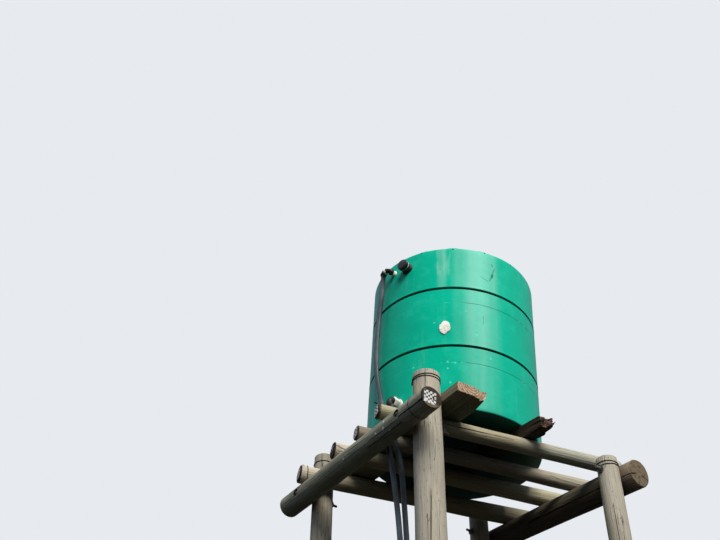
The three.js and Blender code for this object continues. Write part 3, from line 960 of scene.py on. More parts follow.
tank = {
    "radius": 0.550, "wall": 0.007, "rimHeight": 1.271, "roofRise": 0.110, "steps": 192,
    "manholeRadius": 0.190, "neck": 0.046, "dentSize": 0.45, "dentHeight": 0.004,
    # across a groove and a moulding line, from below: out from the wall, up from its middle
    "grooveHeights": (0.465, 0.929),
    "grooveShape": [
        (0, -0.016), (0, -0.0125), (-0.002, -0.0100), (-0.0096, -0.0078), (-0.012, -0.005), (-0.012, 0.004),
        (-0.0096, 0.0060), (-0.001, 0.0072), (0.0005, 0.0090), (0.0008, 0.016), (0, 0.024), (0, 0.028),
    ],
    "mouldLines": (0.337, 0.806),
    "mouldShape": [(0, -0.006), (0, -0.003), (-0.0006, -0.001), (-0.0006, 0.001), (0, 0.003), (0, 0.006)],
    # each rib is raised in steps: half width as a share of the ribs' spacing, height
    "ribs": 16,
    "ribSteps": [(0.30, 0.0054), (0.22, 0.0042), (0.15, 0.0024)],
}


def domeHeight(radius):
    share = (radius - tank["manholeRadius"]) / (tank["radius"] - tank["manholeRadius"])
    return tank["rimHeight"] + tank["roofRise"] * (1 - share * share)


neckTop = domeHeight(tank["manholeRadius"]) + tank["neck"]


def wallLine(inset, rows):
    # the wall from its foot to just under the rim, as (radius, height)
    radius = tank["radius"] - inset
    line = [(radius, 0.030)]
    marks = [(height, tank["grooveShape"]) for height in tank["grooveHeights"]]
    marks += [(height, [] if inset else tank["mouldShape"]) for height in tank["mouldLines"]]
    for height, shape in sorted(marks) + [(tank["rimHeight"] - 0.012, [])]:
        below = line[-1][1]
        rise = height - 0.03 - below
        count = max(1, round(rise * rows))
        line += [(radius, below + rise * i / count) for i in range(1, count + 1)]
        line += [(radius + out, height + up) for out, up in shape]
    return line


def shellProfile():
    radius, wall, rim = tank["radius"], tank["wall"], tank["rimHeight"]
    foot = [(0, 0), (0.30, 0), (0.50, 0), (0.536, 0), (0.5425, 0.0018), (0.5475, 0.006), (radius, 0.013)]
    edge = [(radius, rim - 0.012), (radius - 0.0008, rim - 0.005), (radius - 0.004, rim + 0.001)]
    roof = [(r, domeHeight(r)) for r in (0.538, 0.52, 0.49, 0.45, 0.40, 0.35, 0.30, 0.26, 0.235, 0.215)]
    neck = [(0.204, domeHeight(0.205) + 0.002), (0.202, domeHeight(0.2) + 0.006), (0.202, neckTop)]
    under = [(0.190, neckTop)] + [(r, domeHeight(r) - wall) for r in (0.190, 0.24, 0.34, 0.45, 0.52)]
    inside = [(radius - wall, rim - 0.008), *reversed(wallLine(wall, 3))]
    floor = [(radius - wall, 0.020), (0.536, 0.010), (0.524, wall), (0, wall)]
    return foot + wallLine(0, 16) + edge + roof + neck + under + inside + floor


def makeShell():
    def onRib(points, width):
        share = turnShare(points, tank["ribs"])
        out = outOf(points)
        outside = points[:, 2] > np.maximum(tank["rimHeight"] + 0.012, domeHeight(out) - 0.003)
        return (np.minimum(share, 1 - share) < width) & outside & (out > 0.23)

    shell = spunPiece("tankShell", shellProfile(), tank["steps"])
    for width, rise in tank["ribSteps"]:
        pickPoints(shell, lambda p: onRib(p, width))
        bpy.ops.transform.translate(value=(0, 0, rise))
    objectMode()
    wobble(shell, tank["dentSize"], tank["dentHeight"], (1, 1, 0.8), 2.0)
    smoothBy(shell, 35)
    keepGrain(shell)
    placeAt(shell, platform)
    return shell


tankLook = {
    # some of these colours are painted light: a highlight down the wall, painted highlights on the moulding
    # lines and the foot, and painted shade in the grooves, moulding lines, rim dimples and on the underside
    "green": (0.0, 0.355, 0.232), "deep": (0.0, 0.31, 0.20), "fadedAndFootLight": (0.02, 0.44, 0.30),
    "chalkAndGlint": (0.16, 0.56, 0.43), "highlight": (0.17, 0.45, 0.36), "dust": (0.20, 0.46, 0.36),
    "dirt": (0.008, 0.06, 0.04), "grooveShade": (0.002, 0.012, 0.009), "under": (0.004, 0.022, 0.015),
    "gloss": (0.12, 1.0, 0.88),
    # size, stretch down the wall, detail, roughness
    "noises": {
        "cloud": (2.2, 1, 3.0, 0.55), "run": (26.0, 0.06, 5.0, 0.60), "patch": (11.0, 1, 5.0, 0.62),
        "speck": (150.0, 1, 2.0, 0.55), "fine": (60.0, 0.5, 4.0, 0.65), "grime": (9.0, 0.12, 6.0, 0.70),
        "stroke": (46.0, 0.16, 4.0, 0.60), "skin": (90.0, 1, 3.0, 0.55), "dent": (7.0, 1, 2.0, 0.55),
    },
    # painted highlight: pale bands down the wall where it reflects the sky: azimuth, half width, softness,
    # lowest height, strength
    "highlightBands": [
        (-97, 4.0, 8.0, 0.0, 0.36), (-86, 2.0, 6.0, 0.0, 0.14),
        (-97, 4.0, 6.0, 0.465, 0.46), (-86, 3.0, 5.0, 0.465, 0.20), (-110, 1.0, 3.0, 0.465, 0.14),
        (-97, 3.0, 5.0, 0.93, 0.30), (-86, 2.5, 3.0, 0.93, 0.22), (-108, 2.0, 5.0, 0.93, 0.24),
        (-120, 1.5, 2.5, 0.93, 0.35),
    ],
    # scratches: azimuth and height of both ends, half width, strength
    "scratches": [
        ((-84.7, 1.180), (-84.1, 1.166), 0.0050, 0.65), ((-83.0, 1.140), (-84.6, 1.092), 0.0040, 0.50),
        ((-84.6, 1.090), (-84.9, 1.068), 0.0080, 0.95), ((-84.9, 1.072), (-86.8, 1.036), 0.0040, 0.80),
        ((-93.6, 1.053), (-91.8, 1.038), 0.0032, 0.55), ((-91.8, 1.038), (-88.1, 1.023), 0.0032, 0.55),
        ((-82.6, 1.155), (-82.3, 1.143), 0.0040, 0.35), ((-92.2, 0.720), (-92.5, 0.655), 0.0030, 0.35),
    ],
    # a paler streaky patch: middle, half width and softness, in azimuth and in height
    "palePatch": ((-119.5, 3.5, 2.5), (1.14, 0.08, 0.08)),
    # chips that show pale: azimuth, height
    "chips": [
        (-125, 0.650), (-116.1, 0.340), (-116.1, 0.292), (-114.5, 0.189), (-111.3, 0.332), (-138.9, 0.334),
        (-131.7, 0.212), (-97.0, 0.56), (-104.0, 0.74), (-88.0, 0.40),
    ],
    # painted shade and painted highlights on the moulding lines: where they show dark, and where pale:
    # azimuth, half width, softness
    "lineShade": (-76, 27, 8),
    "lineGlints": [(-111, 7, 3), (-58, 4, 3)],
}


def scratched(tree, azimuth, height, fine, strokes):
    # each stroke darkens the wall along the line between its ends
    degree = math.radians(tank["radius"])
    spot = addNode(tree, "CombineXYZ", inputs={"X": times(tree, azimuth, degree), "Y": height}).outputs[0]
    ragged = times(tree, maths(tree, "SUBTRACT", fine, 0.5), 0.012)
    total = 0.0
    for start, end, half, strength in strokes:
        first = Vector((start[0] * degree, start[1], 0))
        along = Vector((end[0] * degree, end[1], 0)) - first
        away = vectorMaths(tree, "SUBTRACT", spot, tuple(first))
        share = vectorMaths(tree, "DOT_PRODUCT", away, tuple(along / along.length_squared))
        foot = vectorMaths(tree, "SCALE", tuple(along), maths(tree, "MULTIPLY", share, 1.0, True))
        distance = maths(tree, "ADD", vectorMaths(tree, "DISTANCE", away, foot), ragged)
        total = maths(tree, "MAXIMUM", mapped(tree, distance, half * 0.4, half * 1.5, strength, 0.0), total)
    return total


def tankPlastic(name, look):
    material, tree, shader = newMaterial(name, 0.45, specular=0.22)
    shader.inputs["Specular Tint"].default_value = rgba(look["gloss"])
    place = grainOf(tree)
    split = addNode(tree, "SeparateXYZ", inputs={"Vector": place}).outputs
    height = split["Z"]
    azimuth = times(tree, maths(tree, "ARCTAN2", split["Y"], split["X"]), math.degrees(1))
    out = vectorMaths(tree, "LENGTH", scaled(tree, place, (1, 1, 0)))
    onWall = mapped(tree, out, tank["radius"] - 0.020, tank["radius"] - 0.016)
    shade = noises(tree, place, look["noises"])

    colour = laid(tree, look["deep"], look["green"], shade["cloud"], (0.35, 0.0), (0.7, 1.0))
    colour = laid(tree, colour, look["fadedAndFootLight"], shade["patch"], (0.50, 0.0), (0.75, 0.45))
    # painted highlight: pale streaks down the wall, where it reflects the sky
    for middle, half, soft, low, strength in look["highlightBands"]:
        highlightBand = between(tree, azimuth, middle, half, soft)
        upward = mapped(tree, height, low, low + 0.01)
        streaks = ramped(tree, shade["run"], [(0.25, strength * 0.55), (0.65, strength)])
        colour = spread(tree, colour, look["highlight"], highlightBand, upward, streaks, onWall)
    colour = laid(tree, colour, look["dust"], shade["run"], (0.60, 0.0), (0.85, 0.30))
    grime = ramped(tree, shade["grime"], [(0.56, 0.0), (0.74, 0.35)])
    colour = spread(tree, colour, look["dirt"], grime, mapped(tree, height, 0.9, 1.4))
    colour = laid(tree, colour, look["dirt"], shade["speck"], (0.70, 0.0), (0.76, 0.6))
    scratches = scratched(tree, azimuth, height, shade["fine"], look["scratches"])
    colour = spread(tree, colour, look["dirt"], scratches, onWall)
    across, upright = look["palePatch"]
    strokes = ramped(tree, shade["stroke"], [(0.42, 0.0), (0.58, 0.42)])
    palePatch = times(tree, between(tree, azimuth, *across), between(tree, height, *upright), strokes, onWall)
    colour = mixed(tree, palePatch, colour, look["dust"])
    chips = [radialPoint(turn, tank["radius"], level) for turn, level in look["chips"]]
    chip = nearest(tree, place, chips, shade["fine"])
    colour = laid(tree, colour, look["chalkAndGlint"], chip, (0.0075, 0.75), (0.0115, 0.0))

    # painted shade and painted highlight on the moulding lines: dark on one stretch of the wall, pale glints
    # on others
    for level in tank["mouldLines"]:
        line = times(tree, between(tree, height, level, 0.0018, 0.0012), onWall)
        colour = spread(tree, colour, look["grooveShade"], line, between(tree, azimuth, *look["lineShade"]), 0.6)
        glint = times(tree, line, ramped(tree, shade["fine"], [(0.50, 0.0), (0.62, 0.8)]))
        for stretch in look["lineGlints"]:
            colour = spread(tree, colour, look["chalkAndGlint"], glint, between(tree, azimuth, *stretch))
    # painted shade in each groove
    for level in tank["grooveHeights"]:
        colour = spread(tree, colour, look["grooveShade"], between(tree, height, level, 0.0062, 0.0018), onWall)
    # painted shade: the underside, below the foot, nearly black
    colour = mixed(tree, mapped(tree, height, 0.003, 0.008, 0.92, 0.0), colour, look["under"])
    # painted highlight on the rounded foot of the wall
    colour = spread(tree, colour, look["fadedAndFootLight"], between(tree, height, 0.013, 0.004, 0.004), onWall, 0.5)
    # painted shade: a small dark dimple under the rim at each rib
    notch = maths(tree, "PINGPONG", maths(tree, "ADD", azimuth, 360.0), 180 / tank["ribs"])
    underRim = between(tree, height, tank["rimHeight"] - 0.006, 0.006, 0.003)
    colour = spread(tree, colour, look["grooveShade"], between(tree, notch, 0.0, 0.28, 0.2), underRim)
    painted(
        tree, shader, colour, [(shade["skin"], 0.0005), (shade["dent"], 0.003)],
        roughness=ramped(tree, shade["run"], [(0.3, 0.39), (0.8, 0.52)]),
    )
    return material


greenPlastic = tankPlastic("greenPlastic", tankLook)
shell = makeShell()
dressed(shell, "tank", greenPlastic, "tank_floor", "tank_wall", "tank_roof")
print("tank shell:", len(shell.data.polygons), "faces")


# Lid over the manhole: a screw ring with grips and a shallow dome

lid = {"skirt": 0.028, "overhang": 0.026, "grips": 24, "gripDepth": 0.006, "spokes": 8}


def makeLid():
    outer = tank["manholeRadius"] + lid["overhang"]
    skirt = -lid["skirt"]
    profile = [
        (0, 0.003), (outer - 0.012, 0.003), (outer - 0.012, skirt), (outer - 0.002, skirt),
        (outer, skirt + 0.004), (outer, 0.004), (outer - 0.003, 0.010), (outer - 0.012, 0.013),
        (outer - 0.020, 0.010), (outer - 0.034, 0.010), (0.12, 0.019), (0.07, 0.024), (0.060, 0.028),
        (0.045, 0.028), (0.040, 0.025), (0, 0.026),
    ]
    piece = spunPiece("manholeLid", [(radius, neckTop + up) for radius, up in profile], 144)

    def onGrip(centres, normals):
        upright = np.abs(normals[:, 2]) < 0.3
        return upright & (outOf(centres) > outer - 0.001) & (turnShare(centres, lid["grips"]) < 0.5)

    def onSpoke(centres, normals):
        out = outOf(centres)
        share = turnShare(centres, lid["spokes"])
        narrow = np.minimum(share, 1 - share) < 0.10
        return narrow & (normals[:, 2] > 0.8) & (out > 0.065) & (out < outer - 0.03)

    pickFaces(piece, onGrip)
    bpy.ops.mesh.inset(thickness=0.0015)
    bpy.ops.transform.shrink_fatten(value=lid["gripDepth"] - 0.002)
    pickFaces(piece, onSpoke)
    bpy.ops.mesh.inset(thickness=0.002)
    pushFaces(0.004)
    smoothBy(piece, 35)
    keepGrain(piece)
    placeAt(piece, platform)
    return piece


dressed(makeLid(), "tank", greenPlastic, "manhole_lid")
print("lid")


# Plastic and metal finishes of the small parts


def dullPlastic(name, colour, mottle, roughness, scale=40.0):
    material, tree, shader = newMaterial(name, roughness, specular=0.4)
    place = objectPlace(tree)
    blotch = noise(tree, place, scale * 0.4, 4.0, 0.6)
    fine = noise(tree, place, scale * 8, 3.0, 0.6)
    tone = laid(tree, colour, mottle, blotch, (0.40, 0.0), (0.72, 0.9))
    tone = laid(tree, tone, mottle, fine, (0.62, 0.0), (0.78, 0.5))
    rough = ramped(tree, blotch, [(0.3, roughness - 0.08), (0.7, roughness + 0.15)])
    painted(tree, shader, tone, [(blotch, 0.0015), (fine, 0.0003)], roughness=rough)
    return material


def wornMetal(name, colour, rust, rustFrom, roughness, metallic=0.75):
    material, tree, shader = newMaterial(name, roughness, metallic=metallic)
    place = objectPlace(tree)
    blotch = noise(tree, place, 70.0, 4.0, 0.65)
    spangle = addNode(tree, "TexVoronoi", inputs={"Vector": place, "Scale": 260.0}).outputs["Color"]
    grey = addNode(tree, "RGBToBW", inputs={"Color": spangle}).outputs["Val"]
    tone = laid(tree, colour, dimmed(colour, 0.7), grey, (0.2, 0.0), (0.9, 0.5))
    tone = laid(tree, tone, rust, blotch, (rustFrom, 0.0), (rustFrom + 0.12, 1.0))
    rough = ramped(tree, blotch, [(rustFrom, roughness), (rustFrom + 0.12, 0.9)])
    painted(tree, shader, tone, [(blotch, 0.0008), (noise(tree, place, 600.0, 2.0), 0.0002)], roughness=rough)
    return material


blackPlastic = dullPlastic("blackPlastic", (0.012, 0.013, 0.014), (0.05, 0.05, 0.05), 0.38)
pipePlastic = dullPlastic("pipePlastic", (0.034, 0.042, 0.050), (0.098, 0.116, 0.138), 0.42, 14.0)
whitePlastic = dullPlastic("whitePlastic", (0.72, 0.70, 0.64), (0.45, 0.42, 0.36), 0.5)
zincPlate = wornMetal("zincPlate", (0.66, 0.66, 0.64), (0.22, 0.17, 0.12), 0.58, 0.58, 0.35)
boltSteel = wornMetal("boltSteel", (0.24, 0.23, 0.22), (0.13, 0.065, 0.03), 0.48, 0.5)
wireSteel = wornMetal("wireSteel", (0.035, 0.032, 0.03), (0.06, 0.035, 0.02), 0.55, 0.6)


# Fittings on the tank wall, each turned upright and then laid against the wall


def wallPlace(azimuth, height, out=0.0):
    # x points away from the tank, z up
    at = Matrix.Translation(radialPoint(azimuth, tank["radius"] + out, height))
    return platform @ at @ turnAbout("Z", azimuth)


def fittingPlace(azimuth, height):
    # z points away from the tank, x points down
    return wallPlace(azimuth, height) @ turnAbout("Y", 90)


def hexNut(name, radius, low, high):
    nut = rodAlong(name, 6, radius, low, high)
    pickEdges(nut, lambda a, b: np.ones(len(a), bool))
    bpy.ops.mesh.bevel(offset=radius * 0.07, segments=2, affect="EDGES")
    pickFaces(nut, lambda c, n: n[:, 2] > 0.99)
    bpy.ops.mesh.inset(thickness=radius * 0.18)
    pushFaces(-(high - low) * 0.08)
    smoothBy(nut, 30)
    return nut


overflow = {
    "azimuth": -146, "height": 1.165, "flange": 0.042, "bore": 0.034, "reach": 0.048, "cap": 0.039,
    "screws": 6,
}


def makeOverflow():
    flange, bore, reach, cap = (overflow[key] for key in ("flange", "bore", "reach", "cap"))
    spout = spunPiece("overflowSpout", [
        (0, -0.003), (flange, -0.003), (flange, 0.003), (flange - 0.003, 0.007), (bore + 0.005, 0.009),
        (bore + 0.001, 0.013), (bore, 0.020), (bore, reach - 0.016), (bore + 0.002, reach - 0.014),
        (bore + 0.002, reach - 0.002), (bore, reach), (0, reach),
    ], 64)
    screw = hexNut("spoutScrew", 0.0045, 0.006, 0.011)
    placeAt(screw, turnAbout("Z", 15) @ Matrix.Translation((flange - 0.007, 0, 0)))
    step = 360 / overflow["screws"]
    screws = [screw] + [copied(screw, turnAbout("Z", turn * step)) for turn in range(1, overflow["screws"])]
    spout = joined([spout] + screws, "overflowSpout")
    top = spunPiece("overflowCap", [
        (0, reach + 0.0005), (cap - 0.004, reach + 0.0005), (cap - 0.003, reach - 0.006),
        (cap, reach - 0.006), (cap, reach + 0.012), (cap - 0.002, reach + 0.0155),
        (cap - 0.006, reach + 0.0175), (0.020, reach + 0.0195), (0, reach + 0.0205),
    ], 96)
    seal = spunPiece("overflowSeal", [
        (bore - 0.002, reach - 0.0105), (cap - 0.0015, reach - 0.0105), (cap + 0.0005, reach - 0.009),
        (cap - 0.001, reach - 0.0065), (bore - 0.002, reach - 0.0065),
    ], 72, closed=True)
    for piece, smooth in ((seal, 40), (spout, 32), (top, 32)):
        smoothBy(piece, smooth)
        placeAt(piece, fittingPlace(overflow["azimuth"], overflow["height"]))
    dressed(seal, "nut", whitePlastic)
    dressed(spout, "fitting", blackPlastic, "overflow_spout")
    dressed(top, "fitting", blackPlastic, "overflow_cap")


sealPatch = {"azimuth": -118.0, "height": 0.603, "wide": 0.066, "tall": 0.100, "thick": 0.009}


def makeSealPatch():
    # a daub of sealant, laid on and smeared
    clearSelection()
    bpy.ops.mesh.primitive_uv_sphere_add(segments=48, ring_count=32, radius=0.5)
    piece = named("sealPatch")
    placeAt(piece, Matrix.Diagonal((sealPatch["thick"], sealPatch["wide"], sealPatch["tall"], 1)))
    pickPoints(piece, lambda p: (p[:, 1] < -0.012) & (p[:, 2] > 0.02))
    bpy.ops.transform.translate(value=(0, 0.010, 0.006))
    pickPoints(piece, lambda p: (p[:, 1] > 0.008) & (p[:, 2] < -0.03))
    bpy.ops.transform.translate(value=(0, -0.012, -0.004))
    objectMode()
    wobble(piece, 0.016, 0.016, (0, 1, 1), 3.0)
    wobble(piece, 0.010, 0.005, (1, 1, 1), 5.0)
    smoothBy(piece, 60)
    placeAt(piece, wallPlace(sealPatch["azimuth"], sealPatch["height"], out=0.001))
    return piece


makeOverflow()
dressed(makeSealPatch(), "nut", whitePlastic)
print("overflow")


# Inlet and outlet: a nut on the wall, an elbow, and the pipe that drops to the ground

pipework = {
    "radius": 0.016,
    # points in the tank's own frame; a collar has place, axis in the world, radius and length
    "inlet": {
        "azimuth": -158, "height": 1.184, "flange": 0.022, "nut": 0.019, "reach": 0.022, "elbow": 0.0165,
        "hub": (0.580, 0.0205),
        "bend": [
            radialPoint(-158, 0.566, 1.184), radialPoint(-158, 0.584, 1.187),
            radialPoint(-159.5, 0.598, 1.195), (-0.574, -0.172, 1.207),
        ],
        "collars": [
            ((-0.571, -0.153, 1.199), (0.0, 0.1, 1), 0.0205, 0.022),
            ((-0.573, -0.176, 1.222), (0.1, 0.1, 1), 0.009, 0.020),
        ],
    },
    "clamp": ((-0.571, -0.191, 1.199), (-0.35, 0.85, -0.2), 0.0215, 0.020),
    "outlet": {
        "azimuth": -150, "height": 0.097, "flange": 0.039, "nut": 0.035, "reach": 0.050, "elbow": 0.019,
        "hub": (0.610, 0.0245),
        "bend": [
            radialPoint(-150, 0.580, 0.097), radialPoint(-150, 0.618, 0.094), radialPoint(-150, 0.629, 0.079),
        ],
        "collars": [((-0.526, -0.304, 0.044), (0.0, 0.0, 1), 0.0245, 0.036)],
    },
    # routes: the upper points in the tank's own frame, the lower ones plumb below its middle
    "riser": [
        (-0.571, -0.154, 1.203), (-0.570, -0.130, 1.040), (-0.575, -0.104, 0.684), (-0.572, -0.114, 0.439),
        (-0.556, -0.188, 0.164), (-0.548, -0.245, 0.0), (-0.541, -0.296, -0.160),
    ],
    "riserDrop": [
        (-0.533, -0.327, 0.340), (-0.508, -0.335, 0.563), (-0.489, -0.341, 0.820), (-0.410, -0.365, 2.3),
        (-0.370, -0.380, 3.9), (-0.365, -0.382, 4.9),
    ],
    "drain": [
        (-0.526, -0.304, 0.047), (-0.520, -0.304, 0.0), (-0.509, -0.302, -0.100), (-0.494, -0.302, -0.167),
        (-0.474, -0.307, -0.240),
    ],
    "drainDrop": [
        (-0.464, -0.311, 0.380), (-0.455, -0.314, 0.542), (-0.443, -0.318, 0.800), (-0.370, -0.335, 2.3),
        (-0.320, -0.350, 3.9), (-0.315, -0.352, 4.9),
    ],
}


def collarAt(name, place, axis, radius, length):
    # a ribbed clamp round a pipe
    half = length / 2
    collar = spunPiece(name, [
        (0, -half), (radius - 0.003, -half), (radius, -half + 0.003), (radius, -0.003),
        (radius + 0.0015, -0.002), (radius + 0.0015, 0.002), (radius, 0.003), (radius, half - 0.003),
        (radius - 0.003, half), (0, half),
    ], 40)
    smoothBy(collar, 40)
    matrix = Vector(axis).to_track_quat("Z", "Y").to_matrix().to_4x4()
    matrix.translation = platform @ Vector(place)
    placeAt(collar, matrix)
    return collar


def makeFitting(side, look, pipeTop):
    # a flange and nut on the wall, and the elbow from it to the pipe with its collars
    flange, nut = look["flange"], look["nut"]
    plate = spunPiece(side + "Flange", [
        (0, -0.003), (flange, -0.003), (flange + 0.001, 0.002), (flange - 0.002, 0.006),
        (nut, 0.009), (0, 0.009),
    ], 48)
    piece = joined([plate, hexNut(side + "Head", nut, 0.006, look["reach"])], side + "Nut")
    smoothBy(piece, 32)
    placeAt(piece, fittingPlace(look["azimuth"], look["height"]))
    dressed(piece, "nut", whitePlastic, side + "_nut")

    bend = [platform @ Vector(point) for point in look["bend"] + [pipeTop]]
    elbow = tubeAlong(side + "Elbow", bend, look["elbow"])
    out, radius = look["hub"]
    outward = platform.to_3x3() @ radialPoint(look["azimuth"], 1, 0)
    hub = (radialPoint(look["azimuth"], out, look["height"]), outward, radius, 0.018)
    collars = [collarAt("collar", *collar) for collar in [hub] + look["collars"]]
    elbow = joined([elbow] + collars, side + "Elbow")
    dressed(elbow, "fitting", blackPlastic, side + "_elbow")


def makePipe(name, node, onTank, drops):
    upper = [platform @ Vector(point) for point in onTank]
    lower = [baseCentre + Vector((x, y, -drop)) for x, y, drop in drops]
    lower[-1].z = 0
    dressed(tubeAlong(name, upper + lower, pipework["radius"]), "fitting", pipePlastic, node)


makeFitting("inlet", pipework["inlet"], pipework["riser"][0])
place, axis, radius, length = pipework["clamp"]
clamp = collarAt("inletClamp", place, platform.to_3x3() @ Vector(axis), radius, length)
dressed(clamp, "nut", whitePlastic)
makeFitting("outlet", pipework["outlet"], pipework["drain"][0])
makePipe("riserPipe", "riser_pipe", pipework["riser"], pipework["riserDrop"])
makePipe("drainPipe", "outlet_pipe", pipework["drain"], pipework["drainDrop"])
print("pipework")


# Planks: rough sawn, with broken ends

plankLook = {
    **postLook,
    "pale": (0.25, 0.24, 0.16), "dark": (0.135, 0.138, 0.086), "warm": (0.21, 0.175, 0.115),
    "stain": (0.13, 0.14, 0.080), "lineScale": 60.0,
}
darkPlankLook = {
    **plankLook,
    "pale": (0.070, 0.056, 0.040), "dark": (0.028, 0.023, 0.017), "warm": (0.095, 0.062, 0.045),
    "stain": (0.03, 0.025, 0.018),
}
plankEndLook = {
    **endLook,
    "pale": (0.47, 0.345, 0.25), "dark": (0.10, 0.048, 0.032), "stain": (0.27, 0.165, 0.075),
    "crack": (0.055, 0.028, 0.02), "ringDensity": 420.0, "blotchScale": 48.0,
}
darkPlankEndLook = {
    **plankEndLook, "pale": (0.09, 0.06, 0.045), "dark": (0.03, 0.024, 0.02), "stain": (0.16, 0.10, 0.075),
}
plankFaces = [timber("plankTimber", plankLook), endGrain("plankEnd", plankEndLook)]
darkPlankFaces = [timber("darkPlankTimber", darkPlankLook), endGrain("darkPlankEnd", darkPlankEndLook)]

plankThickness = 0.0617
sawing = {
    # rows through the thickness, a short strip at the near end, cuts along the rest, the edges' bevel
    "rows": 6, "strip": 0.12, "cuts": 40, "edge": 0.004,
    "lumpSize": 0.25, "lumpHeight": 0.005, "ridgeSize": 0.009, "ridgeHeight": 0.0018,
}
planks = {
    "left": {
        "place": (-0.197, -0.754), "turn": 15, "width": 0.208, "length": 1.336, "columns": 24, "seed": 3,
        "materials": plankFaces, "jitter": 0.0022,
        # its near end: across the plank, how far the end stands back
        "nearEnd": [
            (-0.104, 0.002), (-0.06, -0.003), (-0.01, -0.007), (0.050, -0.003),
            (0.060, 0.016), (0.068, -0.004), (0.090, -0.006), (0.104, 0.003),
        ],
        # how far the lower edges stand in from the upper ones: left all along, right at the near end
        "waney": 0.0, "brokenCorner": 0.026,
        "splinters": [],
    },
    "right": {
        "place": (0.322, -0.622), "turn": 20.3, "width": 0.104, "length": 1.209, "columns": 16, "seed": 8,
        "materials": darkPlankFaces, "jitter": 0.006,
        "nearEnd": [
            (-0.052, 0.0), (-0.010, 0.004), (0.010, -0.010), (0.022, -0.046), (0.034, 0.040), (0.052, 0.055),
        ],
        "waney": 0.024, "brokenCorner": 0.0,
        # splinters that stand out of the end: from and to across, from and to down, length
        "splinters": [
            (-0.035, -0.015, 0.0, 0.03, 0.020), (0.0, 0.018, 0.035, 0.06, 0.030),
            (0.03, 0.045, 0.01, 0.03, 0.022),
        ],
    },
}


def makePlank(name, look):
    width, length = look["width"], look["length"]

    def onCorner(a, b):
        def corner(points):
            atEdge = np.abs(np.abs(points[:, 0]) - width / 2) < 1e-4
            return atEdge & (np.minimum(np.abs(points[:, 1]), np.abs(points[:, 1] - plankThickness)) < 1e-4)

        return corner(a) & corner(b) & (np.abs(a[:, 2] - b[:, 2]) > 1e-3)

    clearSelection()
    bpy.ops.mesh.primitive_grid_add(x_subdivisions=look["columns"], y_subdivisions=sawing["rows"], size=1)
    piece = named(name)
    middle = Matrix.Translation((0, plankThickness / 2, 0))
    placeAt(piece, middle @ Matrix.Diagonal((width, plankThickness, 1, 1)))
    for material in look["materials"]:
        piece.data.materials.append(material)
    pickAll(piece)
    for reach in (sawing["strip"], length - sawing["strip"]):
        drawOut((0, 0, reach))
    cleanUp(piece)
    pickEdges(piece, lambda a, b: np.abs(a[:, 2] - b[:, 2]) > 0.5)
    bpy.ops.mesh.subdivide(number_cuts=sawing["cuts"])
    inner, outer = 0.2 * width, 0.5 * width
    for y in np.linspace(0, plankThickness, sawing["rows"] + 1)[1:]:
        share = float(y) / plankThickness
        for side, lean, reach in ((-1, look["waney"], 9.0), (1, look["brokenCorner"], 0.01)):
            squeeze = (outer - lean * share - inner) / (outer - inner)
            def onStrip(p):
                return (p[:, 0] * side > inner) & (np.abs(p[:, 1] - y) < 1e-4) & (p[:, 2] < reach)

            pickPoints(piece, onStrip)
            bpy.ops.transform.resize(value=(squeeze, 1, 1), center_override=(side * inner, 0, 0))
    pickEdges(piece, onCorner)
    bpy.ops.mesh.bevel(offset=sawing["edge"], segments=2, affect="EDGES")
    pickFaces(piece, lambda c, n: np.abs(n[:, 2]) > 0.9)
    assignSlot(1)

    # the near end is drawn in or out column by column, then roughened
    outline = np.array(look["nearEnd"])
    ends = vertexPoints(piece)
    for x in np.unique(np.round(ends[ends[:, 2] < 1e-4, 0], 5)):
        pickPoints(piece, lambda p: (np.abs(p[:, 0] - x) < 1e-4) & (p[:, 2] < 0.0601))
        bpy.ops.transform.translate(value=(0, 0, float(np.interp(x, outline[:, 0], outline[:, 1]))))
    pickFaces(piece, lambda c, n: (c[:, 2] < 0.07) & (np.abs(n[:, 2]) > 0.3))
    bpy.ops.mesh.subdivide(number_cuts=1)
    bpy.ops.transform.vertex_random(offset=look["jitter"], uniform=0, normal=0, seed=look["seed"])
    for left, right, top, low, reach in look["splinters"]:
        def inSplinter(c, n):
            across = (c[:, 0] > left) & (c[:, 0] < right)
            return across & (c[:, 1] > top) & (c[:, 1] < low) & (c[:, 2] < 0.09) & (n[:, 2] < -0.2)

        pickFaces(piece, inSplinter)
        drawOut((0, 0, -reach))
        bpy.ops.transform.resize(value=(0.35, 0.35, 1))
    pickPoints(piece, lambda p: p[:, 2] > length - 1e-4)
    bpy.ops.transform.vertex_random(offset=look["jitter"], uniform=0, normal=0, seed=look["seed"] + 1)
    keepGrain(piece, look["seed"])
    wobble(piece, sawing["lumpSize"], sawing["lumpHeight"], (1, 1, 2), look["seed"])
    wobble(piece, sawing["ridgeSize"], sawing["ridgeHeight"], (1, 1, 25), look["seed"] + 2)
    smoothBy(piece, 30)
    laidDown = Matrix(((1, 0, 0, 0), (0, 0, 1, 0), (0, -1, 0, 0), (0, 0, 0, 1)))
    corner = platform @ Matrix.Translation((*look["place"], 0))
    placeAt(piece, corner @ turnAbout("Z", look["turn"]) @ laidDown)
    return piece


for side, look in planks.items():
    hand(makePlank("plank" + side.title(), look), "plank", "plank_" + side)
print("planks:", len(planks))


# Bolts through posts and beams: the head is sunk in the beam, the far end stands out with its nut


